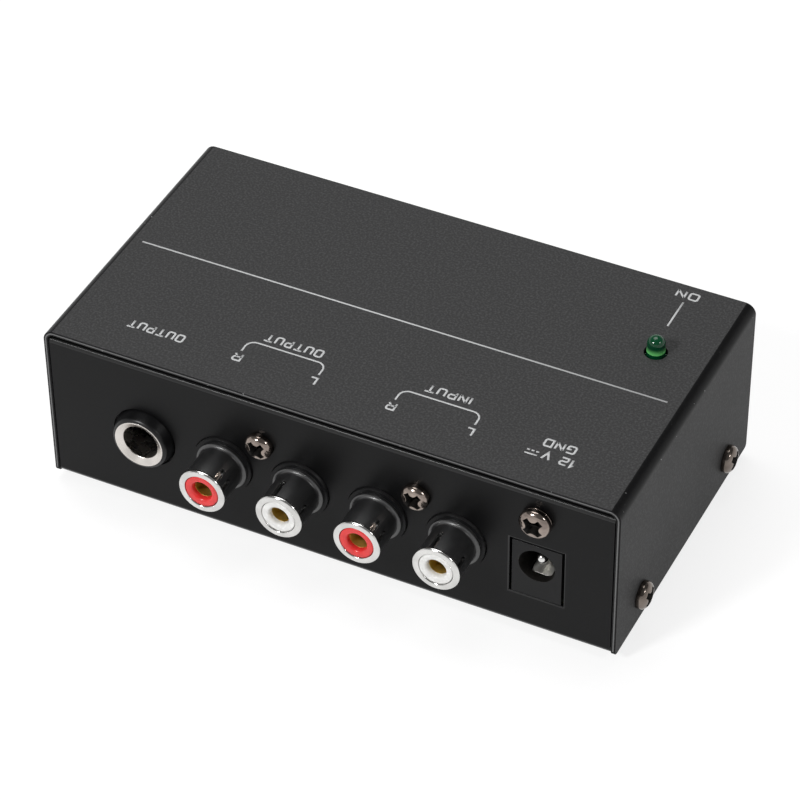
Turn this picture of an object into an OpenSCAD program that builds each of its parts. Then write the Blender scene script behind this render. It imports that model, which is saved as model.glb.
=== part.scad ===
// Phono preamp: a folded sheet-steel case that carries a row of sockets, a ground terminal,
// a lamp and a circuit board. The connector panel faces -Y, +X is to its right, +Z is up.
// The origin lies on the table, below the middle of the whole outline.

/* [Case] */
// Width over the two side walls
case_w = 103.6; // [100:0.2:112]
// Depth from the connector panel to the blank panel
case_d = 56.4; // [54:0.1:62]
// Height of the case without its feet
case_h = 31.1; // [30:0.1:36]
// Thickness of the steel sheet
sheet_t = 0.8; // [0.7:0.1:1]
// Outside radius of the cover's two long bends
cover_bend_r = 2; // [1.6:0.1:3]
// Outside radius of the chassis bends
chassis_bend_r = 1.2; // [1.1:0.1:2]
// Rounding of the lower corners of the cover's side walls
wall_corner_r = 0.8; // [0.5:0.1:2]
// Gap between the chassis panels and the cover's side walls
side_gap = 0.2; // [0.1:0.05:0.5]
// Gap between the panels' turned-in flanges and the cover's top
lid_gap = 0.65; // [0.3:0.05:1.5]
// How far the chassis panels stand back from the cover's cut edges
panel_inset = 0.1; // [0:0.05:0.5]
// Depth of the flange turned in along the top of each panel
flange_d = 5; // [3:0.5:7]

/* [Cover fixing] */
// Length of each upturned tab that a cover screw goes into
tab_len = 12; // [9:0.5:16]
// Height of the tabs above the underside of the chassis
tab_h = 9.6; // [8.5:0.1:12]
// Rounding of the tabs' upper corners
tab_corner_r = 2; // [1:0.5:3]
// Width of the relief cut beside each tab
tab_relief_w = 1; // [0.6:0.1:1.5]
// Distance between the two screws on one side
cover_screw_span = 36.4; // [34:0.1:38]
// Height of the cover screws above the underside of the chassis
cover_screw_h = 5.3; // [5:0.1:5.8]
// Depth of the threaded collar drawn inwards from a tab
tab_collar_d = 0.8; // [0.4:0.1:1.2]
// Wall of that collar
tab_collar_wall = 0.7; // [0.5:0.1:1]

/* [Screws] */
// Shank diameter of the cover and board screws
screw_d = 2.8; // [2.6:0.1:3]
// Head diameter of the cover, board and socket screws
screw_head_d = 4.9; // [4.6:0.1:5.4]
// Height of those heads
screw_head_h = 1.9; // [1.6:0.1:2.2]
// Length of the cover screws under the head
cover_screw_len = 3.4; // [3:0.1:4]
// Length of the board screws under the head
board_screw_len = 4.6; // [4:0.1:5]
// Radial clearance of a screw in the sheet or board that it passes through
screw_clear = 0.25; // [0.15:0.05:0.4]
// Radial clearance between a thread and what it is cut in
thread_clear = 0.02; // [0.01:0.01:0.05]
// Share of a screw head's height that is its straight rim
rim_share = 0.5; // [0.3:0.05:0.7]
// Width of the cross recess
recess_w = 0.9; // [0.7:0.05:1.1]
// Span of the cross recess
recess_span = 2.8; // [2.4:0.1:3.2]
// Depth of the cross recess
recess_depth = 1.1; // [0.8:0.1:1.3]

/* [Feet] */
// Diameter of a stick-on foot at its glued face
foot_d = 8; // [6:0.5:10]
// Height of a foot
foot_h = 1.6; // [1.2:0.1:2.5]
// Draft of a foot from its glued face to its tread
foot_draft = 0.5; // [0.2:0.1:1]
// Distance from a foot's centre to the case's outline
foot_inset = 8; // [6:0.5:12]

/* [Circuit board] */
// Height of the standoffs under the board
standoff_h = 4.9; // [4:0.1:6]
// Outside diameter of a standoff
standoff_d = 5; // [4.6:0.1:6]
// Distance from a standoff to the board's side edge
standoff_side = 4; // [3.5:0.1:5]
// Distance from a standoff to the board's rear edge
standoff_rear = 4; // [3.5:0.1:5]
// Thickness of the board
board_t = 1.6; // [1.2:0.1:2]
// Gap between the board's side edges and the tips of the cover screws
board_side_gap = 0.4; // [0.3:0.1:2]
// Gap between the board and the connector panel
board_front_gap = 0.5; // [0.3:0.1:1]
// Gap between the board and the blank panel
board_rear_gap = 5; // [3:0.5:6]
// How far the leads stick out under the board
lead_out = 1.4; // [1:0.1:2]
// Clearance of a lead in its drilled hole, all round
lead_clear = 0.15; // [0.1:0.05:0.25]

/* [Phono sockets] */
// Height of their axis above the board
rca_axis_h = 6.95; // [6.5:0.05:8]
// Depth of a pair's moulded block behind the panel
rca_block_d = 10; // [9.5:0.1:12]
// Gap between the two blocks
rca_block_gap = 0.4; // [0.2:0.1:0.8]
// Height of a block's shoulders above the socket axis
rca_shoulder_h = 5.2; // [5:0.1:6]
// Height of the fixing screw above the socket axis
rca_screw_rise = 6.8; // [6:0.1:7]
// Width of the boss that the fixing screw goes into
rca_boss_w = 6.4; // [5:0.1:7]
// Diameter of the collar that fills the panel hole
collar_d = 10.5; // [10:0.1:11]
// How far that collar stands out of the panel
collar_out = 0.5; // [0.3:0.1:0.8]
// Diameter of the second step
step_d = 9.2; // [8.8:0.1:9.6]
// How far the second step stands out of the panel
step_out = 0.9; // [0.9:0.1:1.3]
// Diameter of the barrel
barrel_d = 8; // [7.8:0.1:8.3]
// Length of the barrel in front of the panel
barrel_out = 7; // [6:0.1:8]
// Diameter of the metal ring on the end of a socket
ring_d = 8.4; // [8.4:0.05:8.8]
// Length of that ring
ring_len = 0.9; // [0.7:0.1:1.2]
// Rounding of the ring's front edge
ring_round = 0.25; // [0.1:0.05:0.35]
// Wall of the metal shell inside the barrel
shell_wall = 0.35; // [0.3:0.05:0.4]
// Distance from the panel's inner face to the shell's tail
shell_tail_back = 4.6; // [4:0.1:6]
// Half the width of the tails that go into the board
tail_half = 0.7; // [0.5:0.05:0.8]
// Clearance between shell, barrel and insulator, all round
shell_clear = 0.05; // [0.03:0.01:0.08]
// Diameter of the coloured insulator
insulator_d = 6; // [5.8:0.05:6.1]
// How far the insulator stands back from the ring's face
insulator_back = 0.15; // [0.05:0.05:0.3]
// Diameter of the insulator's rear flange
insulator_flange_d = 8.4; // [8:0.1:9]
// Thickness of that flange
insulator_flange_t = 1.2; // [0.8:0.1:1.4]
// Diameter of the mouth in the insulator
mouth_d = 4.2; // [4:0.1:4.6]
// Depth of the mouth's taper
mouth_depth = 0.7; // [0.4:0.1:1]
// Bore of the brass centre contact, for a 3.2 mm plug pin
contact_bore = 3.3; // [3.2:0.02:3.36]
// Wall of the centre contact
contact_wall = 0.25; // [0.2:0.05:0.3]
// How far the contact stands back from the insulator's face
contact_back = 1; // [0.8:0.1:1.5]
// Depth of the contact's bore behind the insulator's face
contact_depth = 15.2; // [15:0.1:16]
// Width of the slots in the barrel
slot_w = 1; // [0.8:0.05:1.2]
// Length of the long slot of a red socket
red_slot_len = 2.6; // [2:0.1:3.5]
// Length of the long slot of a white socket
white_slot_len = 3.7; // [2:0.1:4]
// Length of the short slots
short_slot_len = 2.3; // [1.5:0.1:3]
// Clearance of a collar or bushing in its panel hole, all round
panel_clear = 0.15; // [0.1:0.05:0.3]

/* [Headphone-size jack] */
// Distance from the left-hand side of the case to the jack's body
jack_side = 10.7; // [6:0.1:14]
// Gap between the jack's body and the phono block beside it
jack_gap = 0.64; // [0.3:0.02:1]
// Width of the jack's body
jack_body_w = 14.8; // [14.4:0.1:16]
// Height of the jack's axis above the board
jack_axis_h = 6.95; // [6.5:0.05:8]
// Height of the body above the axis
jack_top = 7.2; // [6.8:0.1:8]
// Length of the body behind the panel
jack_body_len = 32; // [31.5:0.5:34]
// Diameter of the black bushing
bushing_d = 11.3; // [11:0.1:12]
// How far the bushing stands out of the panel
bushing_out = 2.05; // [1.5:0.05:2.5]
// Rounding of the bushing's front edge
bushing_round = 0.5; // [0.2:0.1:0.8]
// Bore for the 6.35 mm plug
jack_bore = 6.44; // [6.4:0.02:6.5]
// Diameter of the metal ferrule's rim
ferrule_rim_d = 9.06; // [8.8:0.02:9.4]
// Thickness of that rim
ferrule_rim_t = 0.7; // [0.7:0.1:1]
// Width of the rim's flat edge, outside the cone
ferrule_edge = 0.12; // [0.05:0.01:0.2]
// Depth of the cone that leads into the bore
ferrule_cone = 0.55; // [0.3:0.05:0.6]
// Wall of the ferrule's tube
ferrule_wall = 0.5; // [0.4:0.05:0.6]
// Length of the ferrule
ferrule_len = 5.5; // [5:0.1:6]
// Inside clearance of the plug's way through the body, all round
plug_way = 0.25; // [0.15:0.05:0.35]
// Half width of the chamber that the contact springs move in
chamber_half = 6.2; // [6:0.1:6.5]
// Height of that chamber
chamber_h = 4.8; // [4.6:0.1:5.5]
// Thickness of the moulded wall behind the plug's tip
jack_rear_wall = 1.3; // [1:0.1:1.5]
// Thickness of the jack's contact springs
spring_t = 0.4; // [0.3:0.05:0.5]
// Width of the jack's contact springs
spring_w = 4; // [3:0.1:4.2]
// Distance from the panel to the tip spring's root
tip_root = 14; // [13:0.5:16]
// Distance from the panel to the ring spring's root
ring_root = 9; // [8.5:0.5:11]
// Length of both springs from the root to the bend that touches the plug
spring_reach = 11.5; // [11:0.1:12]
// Distance from the jack's axis to that bend at rest
spring_bite = 2.75; // [2.6:0.05:2.9]
// Distance from the jack's axis to the springs' roots
spring_root_x = 4.7; // [4.4:0.1:5]
// How much thicker than its strip a spring's root is
root_extra = 0.2; // [0.1:0.05:0.3]
// Length of a jack spring's free end behind its bend
free_end = 2.2; // [1.8:0.1:2.6]
// How far that free end turns away from the plug
free_lift = 1.4; // [1:0.1:1.6]
// Length of the steep part in front of the bend
bend_back = 1.8; // [1.4:0.1:2.2]
// How far the steep part starts outside the bend
bend_lift = 0.9; // [0.7:0.05:1.1]
// Width of the jack's lugs
jack_lug_w = 3; // [2.6:0.1:3.2]
// Gap between a moving spring and the lug that holds it
spring_gap = 0.05; // [0.03:0.01:0.1]

/* [DC socket] */
// Distance from the right-hand side of the case to the DC socket
dc_side = 9.7; // [8:0.1:14]
// Gap between the DC socket and the phono block beside it
dc_gap = 2.78; // [1:0.01:4]
// Width of the DC socket's face
dc_w = 8.9; // [8.8:0.05:9.2]
// Height of the hole's axis above the board
dc_axis_h = 6.65; // [6.3:0.05:7]
// Height of the face above the axis
dc_top = 4.3; // [4.2:0.1:4.8]
// Length of the socket
dc_len = 14.2; // [13.8:0.1:15]
// Depth of the square front part
dc_front_len = 3.4; // [3:0.1:4]
// How far the face stands back from the panel's face
dc_back = 0.35; // [0.1:0.05:0.6]
// Gap between the face and its cut-out in the panel
dc_cut_gap = 0.3; // [0.15:0.05:0.5]
// Diameter of the hole for the plug
dc_hole_d = 6.4; // [6.2:0.05:6.5]
// Depth of that hole
dc_hole_depth = 9.5; // [9:0.1:10]
// Diameter of the centre pin
dc_pin_d = 2; // [1.9:0.05:2.5]
// Diameter of the centre pin's root, inside the moulding
dc_pin_root_d = 2.6; // [2.2:0.1:3]
// How far the centre pin stands back from the face
dc_pin_back = 1.9; // [1.2:0.1:2.5]
// Width of the leaf spring
leaf_w = 3.5; // [3:0.1:3.6]
// Thickness of the leaf spring
leaf_t = 0.3; // [0.2:0.05:0.35]
// Distance from the socket's face to the leaf's free edge
leaf_back = 1.8; // [1.6:0.1:2.2]
// Depth of the leaf's free edge below the axis
leaf_edge_drop = 3.4; // [3.3:0.05:3.5]
// Depth of the leaf's bend below the axis
leaf_bend_drop = 2.35; // [2.3:0.05:2.5]
// Depth of the leaf's root below the axis
leaf_root_drop = 3.7; // [3.6:0.05:3.8]
// Depth of the leaf's chamber below the axis
leaf_chamber_drop = 4.7; // [4.6:0.1:5]
// Distance from the plug hole's floor to the leaf's root
leaf_root_in = 0.6; // [0.5:0.05:0.8]
// Distance from the leaf's root back to its lug
leaf_lug_back = 1; // [0.8:0.1:1.3]
// Half the length of the leaf's crown
leaf_crown_l = 0.8; // [0.6:0.05:1]
// Height of that crown
leaf_crown_h = 0.12; // [0.08:0.01:0.15]
// Clearance of the leaf in its chamber, on each side
leaf_side = 0.2; // [0.15:0.05:0.3]
// Thickness of the socket lugs
lug_t = 0.4; // [0.3:0.05:0.5]
// Width of the DC socket's lugs
dc_lug_w = 2.4; // [2:0.1:2.8]

/* [Ground terminal] */
// Height of the ground screw above the middle of its space over the DC socket
ground_rise = 0.6; // [-0.5:0.05:0.8]
// Head diameter of the ground screw
ground_head_d = 5.5; // [5.2:0.1:6]
// Head height of the ground screw
ground_head_h = 1.8; // [1.6:0.1:2.2]
// Shank diameter of the ground screw
ground_d = 2.9; // [2.8:0.05:3]
// Length of the ground screw under its head
ground_len = 8; // [7.5:0.5:10]
// Radial running clearance of the ground screw
ground_run = 0.05; // [0.03:0.01:0.08]
// Diameter of the captive washer
washer_d = 5.3; // [5:0.1:5.4]
// Thickness of the captive washer
washer_t = 0.4; // [0.3:0.1:0.6]
// Play in front of and behind the captive washer
washer_play = 0.05; // [0.02:0.01:0.1]
// Size of the nut across its flats
nut_af = 5.5; // [5.3:0.1:6]
// Thickness of the nut
nut_t = 2.4; // [2:0.1:2.6]
// Diameter of the solder tag's ring
tag_d = 6; // [5.6:0.1:6.6]
// Thickness of the solder tag
tag_t = 0.4; // [0.3:0.05:0.6]
// Reach of the tag from the screw to its solder hole
tag_reach = 8; // [7:0.1:8.2]
// Width of the tag's tail
tag_tail_w = 2.6; // [2.2:0.1:3]
// Diameter of the ground wire over its sleeve
wire_d = 1.3; // [1:0.1:1.6]
// Straight length of the wire between the tag and its bend
wire_start = 1.5; // [1:0.1:3]
// Bend radius of the ground wire, at its middle
wire_bend_r = 2.6; // [2:0.1:4]

/* [Lamp] */
// Distance from the right-hand side of the case to the lamp
lamp_side = 10.4; // [8:0.1:12]
// Y of the lamp from the middle of the case
lamp_y = 10; // [8:0.1:11]
// Diameter of the lens
lamp_d = 3; // [2.9:0.05:3.1]
// How far the lens stands out of the cover
lamp_out = 3.3; // [2.8:0.1:4]
// Diameter of the lens flange
lamp_flange_d = 3.8; // [3.6:0.05:3.9]
// Thickness of the lens flange
lamp_flange_t = 1; // [0.8:0.1:1.2]
// Diameter of the hole in the cover
lamp_hole_d = 3.87; // [3.7:0.01:4.2]
// Distance between the lamp's two leads
lamp_lead_pitch = 2.54; // [2:0.1:2.6]
// Side of the lamp's square leads
lamp_lead = 0.5; // [0.4:0.05:0.6]

/* [Board parts] */
// Number of columns of board parts that would fill the case's width
columns = 8; // [8:1:9]
// Distance from the phono blocks to the first row of resistors
first_row = 3.6; // [2.5:0.1:4]
// Distance from the first row to the second row of resistors
second_row = 3.4; // [2.8:0.1:3.6]
// Distance from the second row of resistors to the row of chips
chip_row = 7.2; // [7:0.1:8]
// Distance from the chips to the row of coupling capacitors
small_can_row = 8.8; // [8:0.1:10]
// Distance from the coupling capacitors to the row of film capacitors
film_row = 6.4; // [5:0.1:7]
// Distance from the film capacitors to the third row of resistors
third_row = 5.6; // [4:0.1:6]
// Distance between the two filter capacitors
large_can_row = 11; // [10:0.5:13]
// Distance from the filter capacitors to the regulator
reg_row = 8.9; // [8:0.1:10]
// Distance from the filter capacitors' column to the diode
diode_column = 8; // [7:0.1:9]
// Distance from the chips back to the diode
diode_row = 3.6; // [3:0.1:5]
// Diameter of the component leads
lead_d = 0.6; // [0.5:0.05:0.7]
// Length of a resistor's body
resistor_len = 6.3; // [5.5:0.1:7]
// Diameter of a resistor's body
resistor_d = 2.3; // [1.8:0.1:2.5]
// Distance between a resistor's drilled holes
resistor_pitch = 10.16; // [9.5:0.01:11]
// Bend radius of a resistor's leads
resistor_bend_r = 0.9; // [0.7:0.1:1.1]
// Length of an amplifier chip
chip_len = 9.8; // [9.2:0.1:10.2]
// Width of an amplifier chip
chip_w = 6.4; // [6:0.1:6.8]
// Thickness of an amplifier chip
chip_t = 3.4; // [3:0.1:3.8]
// Distance between the chip's two rows of legs
chip_rows = 7.62; // [7.3:0.02:8]
// Distance between two legs of a row
chip_pitch = 2.54; // [2.4:0.02:2.6]
// Gap between a chip and the board
chip_lift = 0.5; // [0.3:0.1:0.8]
// Width of a chip's legs in their holes
leg_w = 0.5; // [0.4:0.05:0.6]
// Thickness of a chip's legs
leg_t = 0.25; // [0.2:0.05:0.3]
// Diameter of a coupling capacitor
small_can_d = 5; // [4.5:0.5:6]
// Height of a coupling capacitor
small_can_h = 11; // [9:0.5:13]
// Diameter of a filter capacitor
large_can_d = 8; // [7:0.5:9]
// Height of a filter capacitor
large_can_h = 11.5; // [10:0.5:15]
// Rounding of a can's top edge
can_round = 0.4; // [0.2:0.1:0.6]
// Depth of the bead rolled into a can near its foot
bead_depth = 0.25; // [0.15:0.05:0.35]
// Height of that bead above the board
bead_h = 1.6; // [1.2:0.1:2]
// Length of a film capacitor
film_len = 7.2; // [6.5:0.1:8]
// Width of a film capacitor
film_w = 2.5; // [2:0.1:3.5]
// Height of a film capacitor
film_h = 6.5; // [5:0.1:8]
// Distance between a capacitor's two leads, as a film capacitor has them
film_pitch = 5; // [4.5:0.1:5.08]
// Diameter of the voltage regulator's round side
reg_d = 4.8; // [4.5:0.1:5.2]
// Height of the regulator's body
reg_h = 4.8; // [4.4:0.1:5.2]
// Distance from the regulator's middle to its flat side
reg_flat = 1.4; // [1.2:0.1:1.7]
// Gap between the regulator and the board
reg_lift = 3; // [2:0.5:4]
// Distance between the regulator's legs
reg_pitch = 1.27; // [1.2:0.01:1.4]
// Diameter of the diode's body
diode_d = 2.6; // [2.2:0.1:2.8]
// Length of the diode's body
diode_len = 4.6; // [4:0.1:5.2]

/* [Hidden] */
$fn = 64;

// Overrun of a cutting body past the face that it cuts
over = 1;

// The case stands on its feet, and its sockets reach out in front of it
socket_reach = barrel_out + ring_len;
case_y = socket_reach / 2;
base_z = foot_h;
floor_z = base_z + sheet_t;
top_z = base_z + case_h;
chassis_top = top_z - sheet_t - lid_gap;
chassis_d = case_d - 2 * panel_inset;
panel_y = case_y - chassis_d / 2;
blank_y = case_y + chassis_d / 2;
wall_in = case_w / 2 - sheet_t;
chassis_half = wall_in - side_gap;

// The board and what stands on it
board_z = floor_z + standoff_h;
board_top = board_z + board_t;
board_front = panel_y + sheet_t + board_front_gap;
board_rear = blank_y - sheet_t - board_rear_gap;
board_half = case_w / 2 - cover_screw_len - board_side_gap;
lead_end = board_z - lead_out;
standoff_x = board_half - standoff_side;
standoff_y = board_rear - standoff_rear;
screw_r = screw_d / 2;
cover_screw_z = base_z + cover_screw_h;

// Socket places, from left to right along the panel: the phono sockets share what the others leave
row_w = case_w - jack_side - jack_body_w - jack_gap - dc_gap - dc_w - dc_side;
rca_pitch = (row_w + rca_block_gap) / 4;
rca_mid_x = -case_w / 2 + jack_side + jack_body_w + jack_gap + row_w / 2;
rca_z = board_top + rca_axis_h;
output_x = rca_mid_x - rca_pitch;
input_x = rca_mid_x + rca_pitch;
block_half = rca_pitch - rca_block_gap / 2;
jack_x = -case_w / 2 + jack_side + jack_body_w / 2;
jack_z = board_top + jack_axis_h;
dc_x = case_w / 2 - dc_side - dc_w / 2;
dc_z = board_top + dc_axis_h;
ground_z = (dc_z + dc_top + chassis_top - sheet_t) / 2 + ground_rise;

// Phono socket radii and stations, counted outwards from the panel's face
collar_r = collar_d / 2;
barrel_r = barrel_d / 2;
insulator_r = insulator_d / 2;
shell_in_r = insulator_r + shell_clear;
shell_out_r = shell_in_r + shell_wall;
contact_in_r = contact_bore / 2;
contact_out_r = contact_in_r + contact_wall;
ring_face = barrel_out + ring_len;
insulator_face = ring_face - insulator_back;
block_rear = -sheet_t - rca_block_d;
insulator_seat = block_rear + insulator_flange_t + 2 * lug_t;
insulator_rear = insulator_seat - insulator_flange_t;
shell_rear = insulator_seat + insulator_flange_t / 3;
shell_tail_at = -sheet_t - shell_tail_back;
red_slot_at = 51;
white_slot_at = 105;
short_slots_at = [22, 158];
rca_bottom = -rca_axis_h;

// Jack stations
ferrule_out_r = jack_bore / 2 + ferrule_wall;
ferrule_front = bushing_out;
ferrule_rear = ferrule_front - ferrule_len;
way_r = jack_bore / 2 + plug_way;
jack_rear = -sheet_t - jack_body_len;
jack_inner_rear = jack_rear + jack_rear_wall;
chamber_front = -ring_root + jack_lug_w + lead_clear;

// DC socket stations
dc_face = -dc_back;
dc_rear = dc_face - dc_len;
dc_pin_r = dc_pin_d / 2;
leaf_edge_z = dc_face - leaf_back;
leaf_root_z = dc_face - dc_hole_depth + leaf_root_in;
leaf_bend_z = (leaf_edge_z + leaf_root_z) / 2 + leaf_side;
leaf_root_r = (leaf_t + root_extra) / 2;
leaf_lug_z = leaf_root_z - leaf_root_r - spring_gap - leaf_lug_back;
dc_bottom = -dc_axis_h;

// Side line of the leaf, from its root to its free edge: [station, height over the axis]
leaf_line = [
    [leaf_root_z, -leaf_root_drop],
    [leaf_bend_z - leaf_crown_l, -leaf_bend_drop - leaf_crown_h],
    [leaf_bend_z, -leaf_bend_drop],
    [leaf_bend_z + leaf_crown_l, -leaf_bend_drop - leaf_crown_h],
    [leaf_edge_z, -leaf_edge_drop]
];

// Ground terminal stations
tag_back = -sheet_t - tag_t;
nut_back = tag_back - nut_t;
wire_x = dc_x + tag_reach;
wire_y = panel_y + sheet_t + tag_t;

// Lamp stations
lamp_x = case_w / 2 - lamp_side;
lamp_seat = top_z + lamp_out - lamp_d / 2;
lamp_flange_z = top_z - sheet_t - lamp_flange_t;

// Board part places
column_pitch = case_w / columns;
column_x = [for (i = [-1.5:1:1.5]) rca_mid_x + i * column_pitch];
row_y = panel_y + sheet_t + rca_block_d + first_row;
chip_y = row_y + second_row + chip_row;
small_can_y = chip_y + small_can_row;
film_y = small_can_y + film_row;
resistor_rows = [row_y, row_y + second_row, film_y + third_row];
chip_x = [rca_mid_x - column_pitch, rca_mid_x + column_pitch];
large_can_x = column_x[3] + column_pitch;
large_can_y = [chip_y, chip_y + large_can_row];
reg_y = large_can_y[1] + reg_row;
diode_x = large_can_x + diode_column;
diode_y = chip_y - diode_row;
small_can_pitch = small_can_d * 2 / 5;
large_can_pitch = large_can_d * 2 / 5;
chip_legs = [-1.5, -0.5, 0.5, 1.5];
resistor_z = board_top + resistor_d / 2;
diode_z = board_top + diode_d / 2;

black_paint = [0.16, 0.16, 0.165];
panel_paint = [0.12, 0.12, 0.125];
black_plastic = [0.07, 0.07, 0.075];
nickel = [0.8, 0.79, 0.76];
steel = [0.66, 0.62, 0.59];
brass = [0.72, 0.53, 0.2];
tin = [0.78, 0.78, 0.76];

// ---------------------------------------------------------------- helpers

// Socket frame on the connector panel: x right, y up, z out of the panel's face
module at_panel(x, z) {
    translate([x, panel_y, z]) rotate([90, 0, 0]) children();
}

// Block between two corners
module block(low, high) {
    translate(low) cube(high - low);
}

// Round bar between two heights
module bar(r, z0, z1) {
    translate([0, 0, z0]) cylinder(h = z1 - z0, r = r);
}

// Round tube between two heights
module pipe(r_out, r_in, z0, z1) {
    difference() {
        bar(r_out, z0, z1);
        bar(r_in, z0 - over, z1 + over);
    }
}

// Rectangle with its four corners rounded, from its lower left corner
module rounded(w, h, r) {
    union() {
        translate([r, 0]) square([w - 2 * r, h]);
        translate([0, r]) square([w, h - 2 * r]);
        for (x = [r, w - r], y = [r, h - r]) translate([x, y]) circle(r = r);
    }
}

// Corner cutter: what lies outside a quarter round of radius r at the origin's corner
module corner(r) {
    difference() {
        translate([-over, -over]) square(r + over);
        translate([r, r]) circle(r = r);
    }
}

// Direction across a bent strip at point i, stretched so that its thickness stays even
function across(p, i) =
    let (a = p[max(i - 1, 0)], b = p[i], c = p[min(i + 1, len(p) - 1)])
    let (u = i > 0 ? (b - a) / norm(b - a) : (c - b) / norm(c - b))
    let (v = i < len(p) - 1 ? (c - b) / norm(c - b) : u)
    let (m = [-(u[1] + v[1]), u[0] + v[0]])
    m / (1 + u * v);

// Outline of a bent strip of even thickness along a line of points
module strip(p, t) {
    last = len(p) - 1;
    polygon(concat(
        [for (i = [0:last]) p[i] + across(p, i) * t / 2],
        [for (i = [last:-1:0]) p[i] - across(p, i) * t / 2]
    ));
}

// Pan-head screw with a cross recess: its seat is at z = 0, its shank runs down to -length
module pan_screw(head_d, head_h, shank_d, length) {
    rim = head_h * rim_share;
    crown = head_h - rim;
    dome_r = (pow(head_d / 2, 2) + pow(crown, 2)) / (2 * crown);
    difference() {
        union() {
            intersection() {
                cylinder(h = head_h, d = head_d);
                translate([0, 0, head_h - dome_r]) sphere(r = dome_r, $fn = 96);
            }
            bar(shank_d / 2, -length, over / 2);
        }
        for (turn = [45, 135]) {
            rotate([0, 0, turn])
                block([-recess_span / 2, -recess_w / 2, head_h - recess_depth],
                      [recess_span / 2, recess_w / 2, head_h + over]);
        }
    }
}

// ---------------------------------------------------------------- case

// The cover's section across the case: a top and two walls with rounded bends
module cover_section(w, h, r) {
    translate([-w / 2, 0]) {
        square([w, h - r]);
        translate([r, 0]) square([w - 2 * r, h]);
        for (x = [r, w - r]) translate([x, h - r]) circle(r = r);
    }
}

// Folded cover with the holes for its four screws and the lamp
module top_cover() {
    color(black_paint)
    difference() {
        translate([0, case_y + case_d / 2, base_z]) rotate([90, 0, 0])
            linear_extrude(case_d) difference() {
                cover_section(case_w, case_h, cover_bend_r);
                translate([0, -over])
                    cover_section(2 * wall_in, case_h - sheet_t + over, cover_bend_r - sheet_t);
            }
        for (side = [0, 1]) {
            translate([-case_w / 2 - over, case_y, base_z]) mirror([0, side, 0])
                translate([0, -case_d / 2, 0]) rotate([90, 0, 90])
                    linear_extrude(case_w + 2 * over) corner(wall_corner_r);
        }
        for (y = [-1, 1]) {
            translate([-case_w / 2 - over, case_y + y * cover_screw_span / 2, cover_screw_z])
                rotate([0, 90, 0]) cylinder(h = case_w + 2 * over, r = screw_r + screw_clear);
        }
        translate([lamp_x, case_y + lamp_y, top_z - sheet_t - over])
            cylinder(h = sheet_t + 2 * over, d = lamp_hole_d);
    }
}

// The chassis section along the case: floor, two panels and their turned-in flanges
module chassis_section() {
    height = chassis_top - base_z;
    difference() {
        rounded(chassis_d, height, chassis_bend_r);
        translate([sheet_t, sheet_t])
            rounded(chassis_d - 2 * sheet_t, height - 2 * sheet_t, chassis_bend_r - sheet_t);
        translate([flange_d, height / 2]) square([chassis_d - 2 * flange_d, height]);
    }
}

// One upturned tab with its drawn, threaded collar, at the right-hand wall
module side_tab() {
    difference() {
        union() {
            translate([wall_in - sheet_t, tab_len / 2, base_z]) rotate([90, 0, 90])
                mirror([1, 0]) linear_extrude(sheet_t) difference() {
                    square([tab_len, tab_h]);
                    translate([0, tab_h]) mirror([0, 1]) corner(tab_corner_r);
                    translate([tab_len, tab_h]) mirror([1, 0]) mirror([0, 1]) corner(tab_corner_r);
                }
            block([chassis_half - 2 * sheet_t, -tab_len / 2, base_z], [wall_in, tab_len / 2, floor_z]);
            translate([wall_in - sheet_t - tab_collar_d, 0, cover_screw_z]) rotate([0, 90, 0])
                cylinder(h = tab_collar_d + sheet_t / 2, r = screw_r + tab_collar_wall);
        }
        translate([0, 0, cover_screw_z]) rotate([0, 90, 0])
            cylinder(h = case_w, r = screw_r + thread_clear);
        translate([wall_in, -case_d / 2, base_z]) rotate([-90, 0, 0]) mirror([1, 0])
            mirror([0, 1]) linear_extrude(case_d) corner(chassis_bend_r);
    }
}

// The folded sheet of the chassis, its panels' corners kept inside the cover's bends
module folded_sheet() {
    intersection() {
        translate([-chassis_half, panel_y, base_z]) rotate([90, 0, 90])
            linear_extrude(2 * chassis_half) chassis_section();
        translate([0, blank_y + over, base_z - over]) rotate([90, 0, 0])
            linear_extrude(chassis_d + 2 * over)
                cover_section(2 * chassis_half, case_h - sheet_t - side_gap + over,
                              cover_bend_r - sheet_t - side_gap);
    }
}

// Room of the connector panel in that sheet: its plate, its lower bend and its flange
module panel_room() {
    side = chassis_half + over;
    block([-side, panel_y - over, base_z - over], [side, panel_y + chassis_bend_r, chassis_top + over]);
    block([-side, panel_y, base_z + case_h / 2], [side, panel_y + flange_d + over, chassis_top + over]);
}

// Connector panel with its cut-outs, the front of the folded sheet
module connector_panel() {
    color(panel_paint)
    difference() {
        intersection() {
            folded_sheet();
            panel_room();
        }
        at_panel(0, 0) {
            for (x = [output_x, input_x], s = [-1, 1])
                translate([x + s * rca_pitch / 2, rca_z])
                    bar(collar_r + panel_clear, -sheet_t - over, over);
            for (x = [output_x, input_x])
                translate([x, rca_z + rca_screw_rise])
                    bar(screw_r + screw_clear, -sheet_t - over, over);
            translate([jack_x, jack_z])
                bar(bushing_d / 2 + panel_clear, -sheet_t - over, over);
            translate([dc_x, ground_z])
                bar(ground_d / 2 + screw_clear, -sheet_t - over, over);
            block([dc_x - dc_w / 2 - dc_cut_gap, board_top - dc_cut_gap, -sheet_t - over],
                  [dc_x + dc_w / 2 + dc_cut_gap, dc_z + dc_top + dc_cut_gap, over]);
        }
    }
}

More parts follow.
